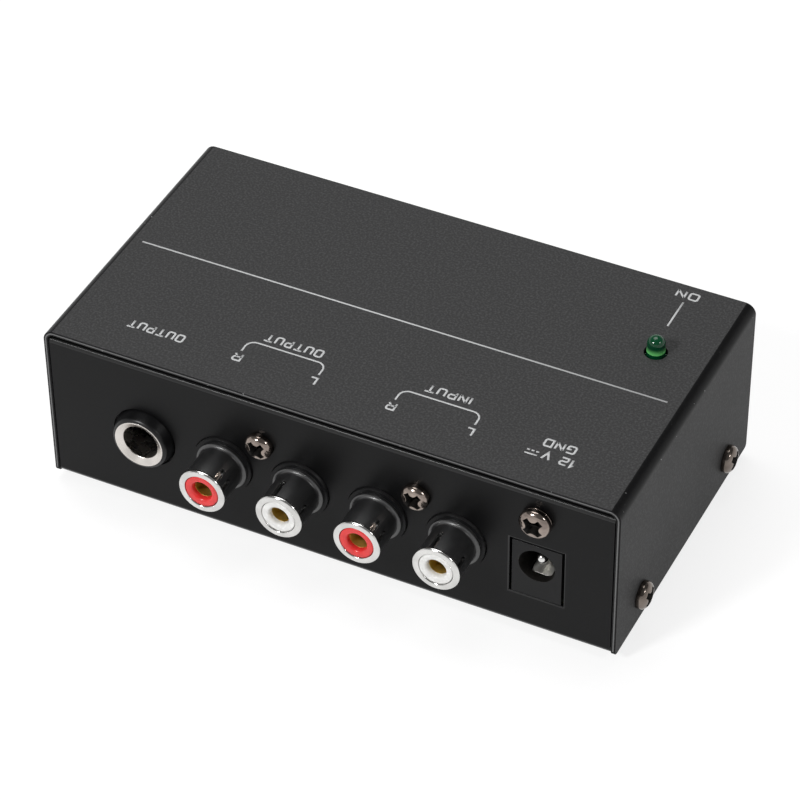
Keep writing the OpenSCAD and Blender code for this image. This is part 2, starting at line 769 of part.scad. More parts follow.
// The rest of the sheet: floor, blank panel and four side tabs
module chassis() {
    color(panel_paint)
    union() {
        difference() {
            folded_sheet();
            panel_room();
            for (x = [-1, 1], y = [-1, 1], end = [-1, 1]) {
                translate([x * chassis_half, case_y + y * cover_screw_span / 2
                           + end * (tab_len + tab_relief_w) / 2, floor_z])
                    cube([4 * sheet_t, tab_relief_w, 4 * sheet_t], center = true);
            }
        }
        for (side = [0, 1], y = [-1, 1]) {
            mirror([side, 0, 0]) translate([0, case_y + y * cover_screw_span / 2, 0]) side_tab();
        }
    }
}

// Two screws through each side wall of the cover into the chassis tabs
module cover_screws() {
    color(steel)
    for (side = [0, 1], y = [-1, 1]) {
        mirror([side, 0, 0])
            translate([case_w / 2, case_y + y * cover_screw_span / 2, cover_screw_z])
                rotate([0, 90, 0]) pan_screw(screw_head_d, screw_head_h, screw_d, cover_screw_len);
    }
}

// Four drafted, self-adhesive feet
module rubber_feet() {
    color([0.1, 0.1, 0.1])
    for (x = [-1, 1], y = [-1, 1]) {
        translate([x * (case_w / 2 - foot_inset), case_y + y * (case_d / 2 - foot_inset), 0])
            cylinder(h = foot_h, r1 = foot_d / 2 - foot_draft, r2 = foot_d / 2);
    }
}

// ---------------------------------------------------------------- board fixing

// Two threaded standoffs that stand on the chassis floor
module board_standoffs() {
    color(nickel)
    for (x = [-1, 1]) {
        translate([x * standoff_x, standoff_y, 0])
            pipe(standoff_d / 2, screw_r + thread_clear, floor_z, board_z);
    }
}

// Two screws from above through the board into the standoffs
module board_screws() {
    color(steel)
    for (x = [-1, 1]) {
        translate([x * standoff_x, standoff_y, board_top])
            pan_screw(screw_head_d, screw_head_h, screw_d, board_screw_len);
    }
}

// Drilled hole for a round lead
module drill(r) {
    bar(r + lead_clear, board_z - over, board_top + over);
}

// Milled hole for a flat lug of a given width along x and thickness along y
module mill(w, t) {
    block([-w / 2 - lead_clear, -t / 2 - lead_clear, board_z - over],
          [w / 2 + lead_clear, t / 2 + lead_clear, board_top + over]);
}

// Glass-fibre board with every drilled and milled hole that its parts need
module circuit_board() {
    color([0.1, 0.32, 0.16])
    difference() {
        block([-board_half, board_front, board_z], [board_half, board_rear, board_top]);
        for (x = [-1, 1]) translate([x * standoff_x, standoff_y]) drill(screw_r);
        for (x = [output_x, input_x], s = [-1, 1]) {
            translate([x + s * rca_pitch / 2, panel_y - shell_tail_at + lug_t / 2])
                mill(2 * tail_half, lug_t);
            translate([x + s * rca_pitch / 2, panel_y - insulator_rear + lug_t / 2])
                mill(2 * tail_half, lug_t);
        }
        translate([jack_x, panel_y - ferrule_rear - lug_t / 2]) mill(2 * tail_half, lug_t);
        for (side = [[1, tip_root], [-1, ring_root]])
            translate([jack_x + side[0] * spring_root_x, panel_y + side[1] - jack_lug_w / 2])
                mill(spring_t, jack_lug_w);
        translate([dc_x, panel_y - dc_rear + lug_t / 2]) mill(dc_lug_w, lug_t);
        translate([dc_x, panel_y - leaf_lug_z]) mill(dc_lug_w, leaf_t);
        translate([dc_x + dc_w / 2 + lug_t / 2, panel_y - leaf_bend_z]) mill(lug_t, dc_lug_w);
        translate([wire_x, wire_y + wire_start + wire_bend_r]) drill(wire_d / 2);
        for (s = [-1, 1])
            translate([lamp_x, case_y + lamp_y + s * lamp_lead_pitch / 2]) mill(lamp_lead, lamp_lead);
        for (x = chip_x, s = [-1, 1], i = chip_legs)
            translate([x + i * chip_pitch, chip_y + s * chip_rows / 2]) mill(leg_w, leg_t);
        for (x = column_x, s = [-1, 1]) {
            for (y = resistor_rows) translate([x + s * resistor_pitch / 2, y]) drill(lead_d / 2);
            translate([x + s * small_can_pitch / 2, small_can_y]) drill(lead_d / 2);
            translate([x + s * film_pitch / 2, film_y]) drill(lead_d / 2);
        }
        for (y = large_can_y, s = [-1, 1])
            translate([large_can_x + s * large_can_pitch / 2, y]) drill(lead_d / 2);
        for (i = [-1, 0, 1]) translate([large_can_x + i * reg_pitch, reg_y]) mill(leg_w, leg_w);
        for (s = [-1, 1]) translate([diode_x, diode_y + s * resistor_pitch / 2]) drill(lead_d / 2);
    }
}

// ---------------------------------------------------------------- phono sockets

// Round-ended slot cut through a barrel from its end, at an angle round the axis
module barrel_slot(angle, length) {
    rotate([0, 0, angle]) translate([shell_out_r, 0, 0]) {
        block([-shell_wall, -slot_w / 2, barrel_out - length + slot_w / 2],
              [over, slot_w / 2, barrel_out + over]);
        translate([-shell_wall, 0, barrel_out - length + slot_w / 2]) rotate([0, 90, 0])
            cylinder(h = shell_wall + over, d = slot_w);
    }
}

// Moulded block of one pair: shoulders, screw boss, two stepped barrels with their slots
module rca_housing(x) {
    color(black_plastic)
    at_panel(x, rca_z) difference() {
        union() {
            translate([0, 0, block_rear]) linear_extrude(rca_block_d) {
                translate([-block_half, rca_bottom])
                    square([2 * block_half, rca_axis_h + rca_shoulder_h]);
                translate([-rca_boss_w / 2, 0]) square([rca_boss_w, rca_screw_rise]);
                translate([0, rca_screw_rise]) circle(d = rca_boss_w);
            }
            for (s = [-1, 1]) translate([s * rca_pitch / 2, 0]) {
                bar(collar_r, -sheet_t, collar_out);
                bar(step_d / 2, -sheet_t, step_out);
                bar(barrel_r, -sheet_t, barrel_out);
            }
        }
        for (s = [-1, 1]) translate([s * rca_pitch / 2, 0]) {
            bar(shell_out_r + shell_clear, block_rear - over, barrel_out + over);
            bar(insulator_flange_d / 2 + shell_clear, block_rear - over, insulator_seat);
            block([-tail_half - lead_clear, rca_bottom - over, block_rear - over],
                  [tail_half + lead_clear, 0, insulator_seat]);
            block([-tail_half - lead_clear, rca_bottom - over, shell_tail_at - lug_t - lead_clear],
                  [tail_half + lead_clear, 0, shell_tail_at + lead_clear]);
            barrel_slot(s < 0 ? red_slot_at : white_slot_at, s < 0 ? red_slot_len : white_slot_len);
            for (a = short_slots_at) barrel_slot(a, short_slot_len);
        }
        translate([0, rca_screw_rise]) bar(screw_r + thread_clear, block_rear - over, over);
    }
}

module output_rca_housing() rca_housing(output_x);

module input_rca_housing() rca_housing(input_x);

// Nickel shell: ring with a rounded front edge, tube inside the barrel, and a tail to the board
module rca_shell() {
    rotate_extrude() {
        difference() {
            translate([shell_in_r, barrel_out]) square([ring_d / 2 - shell_in_r, ring_len]);
            translate([ring_d / 2, ring_face]) rotate(180) corner(ring_round);
        }
        translate([shell_in_r, shell_rear]) square([shell_wall, ring_face - ring_round - shell_rear]);
    }
    block([-tail_half, rca_bottom - board_t - lead_out, shell_tail_at - lug_t],
          [tail_half, -shell_in_r - shell_wall / 2, shell_tail_at]);
}

module rca_shells(x) {
    color(nickel)
    for (s = [-1, 1]) at_panel(x + s * rca_pitch / 2, rca_z) rca_shell();
}

module output_rca_shells() rca_shells(output_x);

module input_rca_shells() rca_shells(input_x);

// Coloured insulator: tapered mouth, bore for the contact, flange at the back
module rca_insulator() {
    difference() {
        union() {
            bar(insulator_r, insulator_rear, insulator_face);
            bar(insulator_flange_d / 2, insulator_rear, insulator_seat);
        }
        bar(contact_out_r, insulator_rear - over, insulator_face - contact_back);
        bar(contact_in_r, 0, insulator_face + over);
        translate([0, 0, insulator_face - mouth_depth])
            cylinder(h = mouth_depth, r1 = contact_in_r, r2 = mouth_d / 2);
    }
}

module red_rca_insulators() {
    color([0.85, 0.2, 0.2])
    for (x = [output_x, input_x]) at_panel(x - rca_pitch / 2, rca_z) rca_insulator();
}

module white_rca_insulators() {
    color([0.93, 0.92, 0.9])
    for (x = [output_x, input_x]) at_panel(x + rca_pitch / 2, rca_z) rca_insulator();
}

// Brass tube with a closed, flanged rear end and a tail to the board, four times
module rca_centre_contacts() {
    color(brass)
    for (x = [output_x, input_x], s = [-1, 1]) {
        at_panel(x + s * rca_pitch / 2, rca_z) {
            difference() {
                bar(contact_out_r, insulator_rear - lug_t, insulator_face - contact_back);
                bar(contact_in_r, insulator_face - contact_depth, insulator_face);
            }
            bar(insulator_r, insulator_rear - lug_t, insulator_rear);
            block([-tail_half, rca_bottom - board_t - lead_out, insulator_rear - lug_t],
                  [tail_half, 0, insulator_rear]);
        }
    }
}

// One screw through the panel into the boss of each block
module rca_screws() {
    color(steel)
    for (x = [output_x, input_x]) {
        at_panel(x, rca_z + rca_screw_rise)
            pan_screw(screw_head_d, screw_head_h, screw_d, rca_block_d - over);
    }
}

// ---------------------------------------------------------------- 6.35 mm jack

// Plan line of a contact spring, from its root to its free end: [distance from axis, station]
function spring_line(root) = [
    [spring_root_x, -root],
    [spring_bite + bend_lift, -root - spring_reach + bend_back],
    [spring_bite + spring_t / 2, -root - spring_reach],
    [spring_bite + free_lift, -root - spring_reach - free_end]
];

// Contact spring standing on edge at one side of the plug's way
module contact_spring(side, root) {
    color(brass)
    at_panel(jack_x, jack_z) mirror([side < 0 ? 1 : 0, 0, 0])
        translate([0, spring_w / 2, 0]) rotate([90, 0, 0]) union() {
            linear_extrude(spring_w) strip(spring_line(root), spring_t);
            translate(spring_line(root)[0]) cylinder(h = spring_w, d = spring_t + root_extra);
        }
}

// Moulded body with its bushing, the plug's way, the spring chamber and the lug slots
module jack_housing() {
    bottom = -jack_axis_h;
    color(black_plastic)
    at_panel(jack_x, jack_z) difference() {
        union() {
            block([-jack_body_w / 2, bottom, jack_rear], [jack_body_w / 2, jack_top, -sheet_t]);
            rotate_extrude() {
                difference() {
                    translate([0, -sheet_t - over]) square([bushing_d / 2, bushing_out + sheet_t + over]);
                    translate([bushing_d / 2, bushing_out]) rotate(180) corner(bushing_round);
                }
            }
        }
        bar(ferrule_out_r, ferrule_rear, bushing_out + over);
        bar(ferrule_rim_d / 2, bushing_out - ferrule_rim_t, bushing_out + over);
        bar(way_r, jack_inner_rear, bushing_out);
        block([-chamber_half, -chamber_h / 2, jack_inner_rear],
              [chamber_half, chamber_h / 2, chamber_front]);
        for (side = [[1, tip_root], [-1, ring_root]]) {
            translate([side[0] * spring_root_x, 0, -side[1]])
                block([-spring_t / 2 - lead_clear, bottom - over, -lead_clear],
                      [spring_t / 2 + lead_clear, 0, jack_lug_w + lead_clear]);
        }
        block([-tail_half - lead_clear, bottom - over, ferrule_rear - lead_clear],
              [tail_half + lead_clear, 0, ferrule_rear + lug_t + lead_clear]);
    }
}

// Nickel ferrule: rim, cone, bore, and the sleeve contact's tail to the board
module jack_ferrule() {
    bore_r = jack_bore / 2;
    rim_r = ferrule_rim_d / 2;
    color(nickel)
    at_panel(jack_x, jack_z) {
        rotate_extrude() polygon([
            [bore_r, ferrule_rear],
            [ferrule_out_r, ferrule_rear],
            [ferrule_out_r, ferrule_front - ferrule_rim_t],
            [rim_r, ferrule_front - ferrule_rim_t],
            [rim_r, ferrule_front],
            [rim_r - ferrule_edge, ferrule_front],
            [bore_r, ferrule_front - ferrule_cone]
        ]);
        block([-tail_half, -jack_axis_h - board_t - lead_out, ferrule_rear],
              [tail_half, -bore_r - ferrule_wall / 2, ferrule_rear + lug_t]);
    }
}

module jack_tip_spring() contact_spring(1, tip_root);

module jack_ring_spring() contact_spring(-1, ring_root);

// Fixed lugs that the two springs grow from, each clamped in a slot of the body
module jack_lugs() {
    lug_start = (spring_t + root_extra) / 2 + spring_gap;
    color(brass)
    at_panel(jack_x, jack_z) {
        for (side = [[1, tip_root], [-1, ring_root]]) {
            translate([side[0] * spring_root_x, 0, -side[1]])
                block([-spring_t / 2, -jack_axis_h - board_t - lead_out, lug_start],
                      [spring_t / 2, spring_w / 2, jack_lug_w]);
        }
    }
}

// ---------------------------------------------------------------- DC socket

// Outline drawn in [station, height] and extruded to a width along x
module side_strip(w) {
    translate([w / 2, 0, 0]) rotate([0, -90, 0]) linear_extrude(w) children();
}

// Square face, rounded rear body, plug hole, leaf chamber and lug slots
module dc_housing() {
    color([0.1, 0.1, 0.105])
    at_panel(dc_x, dc_z) difference() {
        union() {
            block([-dc_w / 2, dc_bottom, dc_face - dc_front_len], [dc_w / 2, dc_top, dc_face]);
            block([-dc_w / 2, dc_bottom, dc_rear], [dc_w / 2, 0, dc_face]);
            bar(dc_top, dc_rear, dc_face);
        }
        bar(dc_hole_d / 2, dc_face - dc_hole_depth, over);
        bar(dc_pin_root_d / 2, dc_rear - over, dc_face);
        block([-leaf_w / 2 - leaf_side, -leaf_chamber_drop, leaf_lug_z - leaf_t],
              [leaf_w / 2 + leaf_side, -dc_hole_d / 4, leaf_edge_z + 2 * leaf_side]);
        block([-dc_lug_w / 2 - lead_clear, dc_bottom - over, leaf_lug_z - leaf_t],
              [dc_lug_w / 2 + lead_clear, -leaf_chamber_drop + over, leaf_lug_z + leaf_t]);
    }
}

// Round-tipped centre pin with its rear lug, riveted through the body
module dc_centre_pin() {
    tip = dc_face - dc_pin_back - dc_pin_r;
    color(nickel)
    at_panel(dc_x, dc_z) {
        bar(dc_pin_root_d / 2, dc_rear - lug_t, dc_face - dc_hole_depth);
        bar(dc_pin_r, dc_rear, tip);
        translate([0, 0, tip]) sphere(r = dc_pin_r);
        block([-dc_lug_w / 2, dc_bottom - board_t - lead_out, dc_rear - lug_t],
              [dc_lug_w / 2, dc_pin_d, dc_rear]);
    }
}

// Leaf that presses on the plug's sleeve
module dc_leaf_spring() {
    color(nickel)
    at_panel(dc_x, dc_z) union() {
        side_strip(leaf_w) strip(leaf_line, leaf_t);
        translate([-leaf_w / 2, leaf_line[0][1], leaf_line[0][0]]) rotate([0, 90, 0])
            cylinder(h = leaf_w, r = leaf_root_r);
    }
}

// Fixed lug that the leaf grows from, and the switch lug on the socket's side
module dc_lugs() {
    lug_bottom = dc_bottom - board_t - lead_out;
    color(tin)
    at_panel(dc_x, dc_z) {
        side_strip(dc_lug_w)
            strip([
                [leaf_root_z - leaf_root_r - spring_gap, -leaf_root_drop],
                [leaf_lug_z, -leaf_root_drop],
                [leaf_lug_z, lug_bottom]
            ], leaf_t);
        block([dc_w / 2, lug_bottom, leaf_bend_z - dc_lug_w / 2],
              [dc_w / 2 + lug_t, -dc_hole_d / 4, leaf_bend_z + dc_lug_w / 2]);
    }
}

// ---------------------------------------------------------------- ground terminal

// Screw that clamps the turntable's ground wire under its washer
module ground_screw() {
    color(steel)
    at_panel(dc_x, ground_z) translate([0, 0, washer_t + 2 * washer_play])
        pan_screw(ground_head_d, ground_head_h, ground_d, ground_len);
}

// Washer that stays on the screw, just smaller than its head
module ground_washer() {
    color(steel)
    at_panel(dc_x, ground_z)
        pipe(washer_d / 2, ground_d / 2 + ground_run, washer_play, washer_play + washer_t);
}

// Nut behind the panel
module ground_nut() {
    color(nickel)
    at_panel(dc_x, ground_z) difference() {
        translate([0, 0, nut_back]) cylinder(h = nut_t, d = nut_af / cos(30), $fn = 6);
        bar(ground_d / 2 + ground_run, nut_back - over, over);
    }
}

// Solder tag between the nut and the panel
module ground_tag() {
    color(tin)
    at_panel(dc_x, ground_z) difference() {
        union() {
            bar(tag_d / 2, tag_back, -sheet_t);
            block([0, -tag_tail_w / 2, tag_back], [tag_reach, tag_tail_w / 2, -sheet_t]);
            translate([tag_reach, 0]) bar(tag_tail_w / 2, tag_back, -sheet_t);
        }
        bar(ground_d / 2 + screw_clear, tag_back - over, 0);
    }
}

// Sleeved wire from the tag down to the board
module ground_wire() {
    r = wire_d / 2;
    turn_y = wire_y + wire_start;
    color([0.1, 0.35, 0.12])
    union() {
        translate([wire_x, wire_y, ground_z]) rotate([-90, 0, 0]) cylinder(h = wire_start, r = r);
        translate([wire_x, turn_y, ground_z - wire_bend_r]) rotate([90, 0, 90])
            rotate_extrude(angle = 90) translate([wire_bend_r, 0]) circle(r = r);
        translate([wire_x, turn_y + wire_bend_r, lead_end])
            cylinder(h = ground_z - wire_bend_r - lead_end, r = r);
    }
}

// ---------------------------------------------------------------- lamp

// Green lens: dome, straight body and a flange under the cover
module lamp_lens() {
    color([0.1, 0.5, 0.25])
    translate([lamp_x, case_y + lamp_y, 0]) union() {
        translate([0, 0, lamp_seat]) sphere(d = lamp_d);
        bar(lamp_d / 2, lamp_flange_z, lamp_seat);
        bar(lamp_flange_d / 2, lamp_flange_z, lamp_flange_z + lamp_flange_t);
    }
}

// Two square leads from the lamp down through the board
module lamp_leads() {
    color(tin)
    for (s = [-1, 1]) {
        translate([lamp_x, case_y + lamp_y + s * lamp_lead_pitch / 2, 0])
            block([-lamp_lead / 2, -lamp_lead / 2, lead_end],
                  [lamp_lead / 2, lamp_lead / 2, lamp_flange_z]);
    }
}

// ---------------------------------------------------------------- board parts

// Two eight-legged amplifier chips with drafted bodies
module op_amps() {
    leg_z = board_top + chip_lift + chip_t / 2;
    draft = 0.3;
    color([0.09, 0.09, 0.1])
    for (x = chip_x) translate([x, chip_y, 0]) {
        translate([-chip_len / 2, 0, 0]) rotate([90, 0, 90]) linear_extrude(chip_len)
            translate([0, board_top + chip_lift]) polygon([
                [-chip_w / 2 + draft, 0], [chip_w / 2 - draft, 0], [chip_w / 2, chip_t / 2],
                [chip_w / 2 - draft, chip_t], [-chip_w / 2 + draft, chip_t], [-chip_w / 2, chip_t / 2]
            ]);
        for (side = [0, 1], i = chip_legs) {
            mirror([0, side, 0]) translate([i * chip_pitch - leg_w / 2, 0, 0])
                rotate([90, 0, 90]) linear_extrude(leg_w) strip([
                    [chip_w / 2 - draft, leg_z],
                    [chip_rows / 2, leg_z],
                    [chip_rows / 2, lead_end]
                ], leg_t);
        }
    }
}

// Electrolytic capacitor: can with a rounded top and a rolled bead, and its two leads
module can(d, h, pitch) {
    translate([0, 0, board_top]) rotate_extrude() difference() {
        square([d / 2, h]);
        translate([d / 2, h]) rotate(180) corner(can_round);
        translate([d / 2 + bead_depth, bead_h]) circle(r = 2 * bead_depth, $fn = 32);
    }
    for (s = [-1, 1]) translate([s * pitch / 2, 0]) bar(lead_d / 2, lead_end, board_top + over / 2);
}

module coupling_capacitors() {
    color([0.12, 0.14, 0.3])
    for (x = column_x) translate([x, small_can_y]) can(small_can_d, small_can_h, small_can_pitch);
}

module filter_capacitors() {
    color([0.12, 0.14, 0.3])
    for (y = large_can_y) translate([large_can_x, y]) can(large_can_d, large_can_h, large_can_pitch);
}

// Box-shaped film capacitors that set the equalisation
module film_capacitors() {
    round_r = 0.4;
    color([0.7, 0.5, 0.2])
    for (x = column_x) translate([x, film_y]) {
        translate([-film_len / 2, -film_w / 2, board_top]) linear_extrude(film_h)
            rounded(film_len, film_w, round_r);
        for (s = [-1, 1])
            translate([s * film_pitch / 2, 0]) bar(lead_d / 2, lead_end, board_top + over / 2);
    }
}

// Axial part lying along x at a height: its body's children, and two leads bent down
module axial(pitch, z, r) {
    straight = pitch / 2 - resistor_bend_r;
    children();
    for (side = [0, 1]) mirror([side, 0, 0]) {
        translate([0, 0, z]) rotate([0, 90, 0]) cylinder(h = straight, r = r);
        translate([straight, 0, z - resistor_bend_r]) rotate([90, 0, 0]) rotate_extrude(angle = 90)
            translate([resistor_bend_r, 0]) circle(r = r, $fn = 24);
        translate([pitch / 2, 0, lead_end]) cylinder(h = z - resistor_bend_r - lead_end, r = r);
    }
}

// Three rows of small resistors with waisted bodies
module resistors() {
    cap_len = 1.4;
    waist = 0.15;
    color([0.55, 0.68, 0.75])
    for (x = column_x, y = resistor_rows) translate([x, y]) {
        axial(resistor_pitch, resistor_z, lead_d / 2)
            translate([0, 0, resistor_z]) rotate([0, 90, 0]) union() {
                bar(resistor_d / 2 - waist, -resistor_len / 2, resistor_len / 2);
                for (s = [-1, 1]) translate([0, 0, s * (resistor_len - cap_len) / 2])
                    cylinder(h = cap_len, d = resistor_d, center = true);
            }
    }
}

// Regulator with a flat-sided body on three legs
module voltage_regulator() {
    color([0.09, 0.09, 0.1])
    translate([large_can_x, reg_y, 0]) {
        translate([0, 0, board_top + reg_lift]) linear_extrude(reg_h) difference() {
            circle(d = reg_d);
            translate([-reg_d, -reg_flat - reg_d]) square([2 * reg_d, reg_d]);
        }
        for (i = [-1, 0, 1]) translate([i * reg_pitch, 0])
            block([-leg_w / 2, -leg_w / 2, lead_end], [leg_w / 2, leg_w / 2, board_top + reg_lift + over]);
    }
}

// Diode that guards the supply, lying along y
module input_diode() {
    color([0.1, 0.1, 0.1])
    translate([diode_x, diode_y]) rotate([0, 0, 90])
        axial(resistor_pitch, diode_z, lead_d / 2)
            translate([0, 0, diode_z]) rotate([0, 90, 0])
                bar(diode_d / 2, -diode_len / 2, diode_len / 2);
}

top_cover();
chassis();
connector_panel();
cover_screws();
rubber_feet();
board_standoffs();
board_screws();
circuit_board();
output_rca_housing();
input_rca_housing();
output_rca_shells();
input_rca_shells();
red_rca_insulators();
white_rca_insulators();
rca_centre_contacts();
rca_screws();
jack_housing();
jack_ferrule();
jack_tip_spring();
jack_ring_spring();
jack_lugs();
dc_housing();
dc_centre_pin();
dc_leaf_spring();
dc_lugs();
ground_screw();
ground_washer();
ground_nut();
ground_tag();
ground_wire();
lamp_lens();
lamp_leads();
op_amps();
coupling_capacitors();
filter_capacitors();
film_capacitors();
resistors();
voltage_regulator();
input_diode();
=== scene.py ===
import math

import bmesh
import bpy
from mathutils import Matrix, Vector


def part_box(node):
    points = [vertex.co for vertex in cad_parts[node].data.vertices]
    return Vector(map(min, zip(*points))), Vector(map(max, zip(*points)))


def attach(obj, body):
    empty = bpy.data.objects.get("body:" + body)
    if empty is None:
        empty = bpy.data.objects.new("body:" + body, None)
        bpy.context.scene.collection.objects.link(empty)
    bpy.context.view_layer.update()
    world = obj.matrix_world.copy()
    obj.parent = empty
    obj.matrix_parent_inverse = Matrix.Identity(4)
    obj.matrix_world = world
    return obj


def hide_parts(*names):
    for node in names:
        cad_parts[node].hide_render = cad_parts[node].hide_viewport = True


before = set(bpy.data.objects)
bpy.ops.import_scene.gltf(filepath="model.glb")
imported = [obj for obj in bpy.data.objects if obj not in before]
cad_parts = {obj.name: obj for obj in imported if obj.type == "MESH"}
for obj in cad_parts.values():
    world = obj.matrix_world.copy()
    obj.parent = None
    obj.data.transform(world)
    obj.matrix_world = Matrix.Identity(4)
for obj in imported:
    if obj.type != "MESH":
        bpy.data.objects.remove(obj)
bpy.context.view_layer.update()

scene = bpy.context.scene
scene.view_settings.view_transform = "Standard"

# -------- camera
# A long lens above the right-hand end of the connector panel. It looks down at the top, the
# panel and the right-hand wall.
azimuth, elevation, roll = (math.radians(angle) for angle in (26.443, 40.930, -0.575))
camera_place = (0.20051, -0.39978, 0.40555)
towards_camera = Vector((
    math.sin(azimuth) * math.cos(elevation),
    -math.cos(azimuth) * math.cos(elevation),
    math.sin(elevation),
))
level = Vector((0, 0, 1)).cross(towards_camera).normalized()
upright = towards_camera.cross(level)
across = math.cos(roll) * level + math.sin(roll) * upright
above = -math.sin(roll) * level + math.cos(roll) * upright
lens = bpy.data.cameras.new("camera")
lens.sensor_width = 36
lens.lens = 159.53
lens.clip_start = 0.01
camera = bpy.data.objects.new("camera", lens)
camera.matrix_world = (Matrix.Translation(camera_place)
                       @ Matrix((across, above, towards_camera)).transposed().to_4x4())
scene.collection.objects.link(camera)
scene.camera = camera

# -------- studio
# A pale floor that sweeps up into a round backdrop, a dim room, and three soft lamps: a large one
# above and behind the case for the sheen on its top, and small ones in front and at the right.


def socket_of(value):
    """First output of a node. Anything else stays as it is."""
    return value.outputs[0] if isinstance(value, bpy.types.Node) else value


def add_node(tree, kind, inputs=None, **settings):
    """New node of a tree. Each input is given a value, a socket or a node."""
    made = tree.nodes.new("ShaderNode" + kind)
    for name, value in settings.items():
        setattr(made, name, value)
    for name, value in (inputs or {}).items():
        value = socket_of(value)
        if isinstance(value, bpy.types.NodeSocket):
            tree.links.new(value, made.inputs[name])
        else:
            made.inputs[name].default_value = value
    return made


def maths(tree, operation, *values):
    """Math node over its values."""
    return add_node(tree, "Math", dict(enumerate(values)), operation=operation)


def grey(level):
    """Neutral colour."""
    return level, level, level, 1


def turned(shape, profile, closed=False, steps=64, material=0):
    """Spins a profile of (radius, height) pairs round the Z axis. A closed profile ends where
    it starts."""
    before = set(shape.faces)
    points = [shape.verts.new((radius, 0, height)) for radius, height in profile]
    pairs = list(zip(points, points[1:])) + ([(points[-1], points[0])] if closed else [])
    lines = [shape.edges.new(pair) for pair in pairs]
    bmesh.ops.spin(shape, geom=points + lines, cent=(0, 0, 0), axis=(0, 0, 1), angle=math.tau,
                   steps=steps, use_merge=True)
    verts = {vert for face in shape.faces if face not in before for vert in face.verts}
    bmesh.ops.remove_doubles(shape, verts=list(verts), dist=1e-5)
    faces = [face for face in shape.faces if face not in before]
    for face in faces:
        face.material_index = material
    bmesh.ops.recalc_face_normals(shape, faces=faces)
    return list({vert for face in faces for vert in face.verts})


floor_material = bpy.data.materials.new("studio_floor")
floor_material.use_nodes = True
floor_tree = floor_material.node_tree
floor_tree.nodes.clear()
rays = add_node(floor_tree, "LightPath").outputs
seen = maths(floor_tree, "MAXIMUM", rays["Is Camera Ray"], rays["Is Glossy Ray"])
seen = maths(floor_tree, "MAXIMUM", seen, rays["Is Transmission Ray"])
matt = add_node(floor_tree, "BsdfDiffuse", {"Color": grey(0.8)})
faint = add_node(floor_tree, "BsdfDiffuse", {"Color": grey(0.26)})
glow = add_node(floor_tree, "Emission", {"Color": grey(1), "Strength": 0.8})
bright = add_node(floor_tree, "AddShader", {0: faint, 1: glow})
shown = add_node(floor_tree, "MixShader", {0: seen, 1: matt, 2: bright})
add_node(floor_tree, "OutputMaterial", {"Surface": shown})

floor_shape = bmesh.new()
turned(floor_shape, [(0, 0), (4.3, 0), (4.9, 0.16), (5.25, 0.5), (5.4, 1.2), (5.45, 2.4)])
floor_mesh = bpy.data.meshes.new("studio_floor")
floor_shape.to_mesh(floor_mesh)
floor_shape.free()
floor_mesh.shade_smooth()
floor_mesh.materials.append(floor_material)
floor = bpy.data.objects.new("studio_floor", floor_mesh)
scene.collection.objects.link(floor)

room = bpy.data.worlds.new("studio")
room.use_nodes = True
room.node_tree.nodes["Background"].inputs["Color"].default_value = grey(0.18)
scene.world = room


def soft_lamp(name, place, size, watts):
    """Square lamp that faces the middle of the case."""
    lamp = bpy.data.lights.new(name, "AREA")
    lamp.shape, lamp.size, lamp.energy = "SQUARE", size, watts
    lamp_object = bpy.data.objects.new(name, lamp)
    lamp_object.location = place
    away = Vector(place) - Vector((0, 0, 0.02))
    lamp_object.rotation_euler = away.to_track_quat("Z", "Y").to_euler()
    scene.collection.objects.link(lamp_object)


soft_lamp("lamp_above", (-0.35, 0.4, 1.4), 1.0, 12)
soft_lamp("lamp_left", (-0.49, -1.0, 0.93), 0.22, 11.5)
soft_lamp("lamp_right", (1.05, -0.15, 0.85), 0.22, 2.6)

# -------- chassis
# Steel sheet folded into a floor, a connector panel and a blank panel, each panel with a flange
# turned in along its top. It is painted satin black after the holes are punched.
MM = 0.001


def corners_of(node):
    """Lowest and highest corner of a CAD node, in mm."""
    low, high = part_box(node)
    return low / MM, high / MM


def rounded_edges(shape, edges, width, segments):
    """Rounds edges to a width in mm."""
    bmesh.ops.bevel(shape, geom=edges, offset=width, offset_type="OFFSET", segments=segments,
                    profile=0.5, affect="EDGES", clamp_overlap=True, material=-1,
                    loop_slide=True)


def sharp_edges(shape, test):
    """Edges at which the surface turns sharply and whose middle passes a test."""
    return [edge for edge in shape.edges
            if edge.is_manifold and edge.calc_face_angle() > math.radians(35)
            and test((edge.verts[0].co + edge.verts[1].co) / 2)]


def softened(nodes, width, segments=2, seam=None, fine=None, fine_width=0.1):
    """One shape in mm from CAD nodes: its flat faces whole, its corners rounded to a width.
    Nodes that meet at a seam, where y is that many mm, become one sheet there. Edges where
    fine says yes get a rounding of their own width."""
    shape = bmesh.new()
    for node in nodes:
        shape.from_mesh(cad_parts[node].data)
    bmesh.ops.remove_doubles(shape, verts=shape.verts, dist=1e-6)
    bmesh.ops.scale(shape, vec=(1 / MM,) * 3, verts=shape.verts)
    if seam is not None:
        inside = [face for face in shape.faces
                  if all(abs(vert.co.y - seam) < 0.005 for vert in face.verts)]
        bmesh.ops.delete(shape, geom=inside, context="FACES_ONLY")
    bmesh.ops.dissolve_limit(shape, angle_limit=math.radians(0.4), verts=shape.verts,
                             edges=shape.edges)
    if fine:
        rounded_edges(shape, sharp_edges(shape, fine), fine_width, segments)
    if width:
        rest = sharp_edges(shape, lambda place: not (fine and fine(place)))
        rounded_edges(shape, rest, width, segments)
    return shape


def recoloured(shape, material, test):
    """Gives a material's number to the faces whose middle and direction pass a test."""
    for face in shape.faces:
        if test(face.calc_center_median(), face.normal):
            face.material_index = material


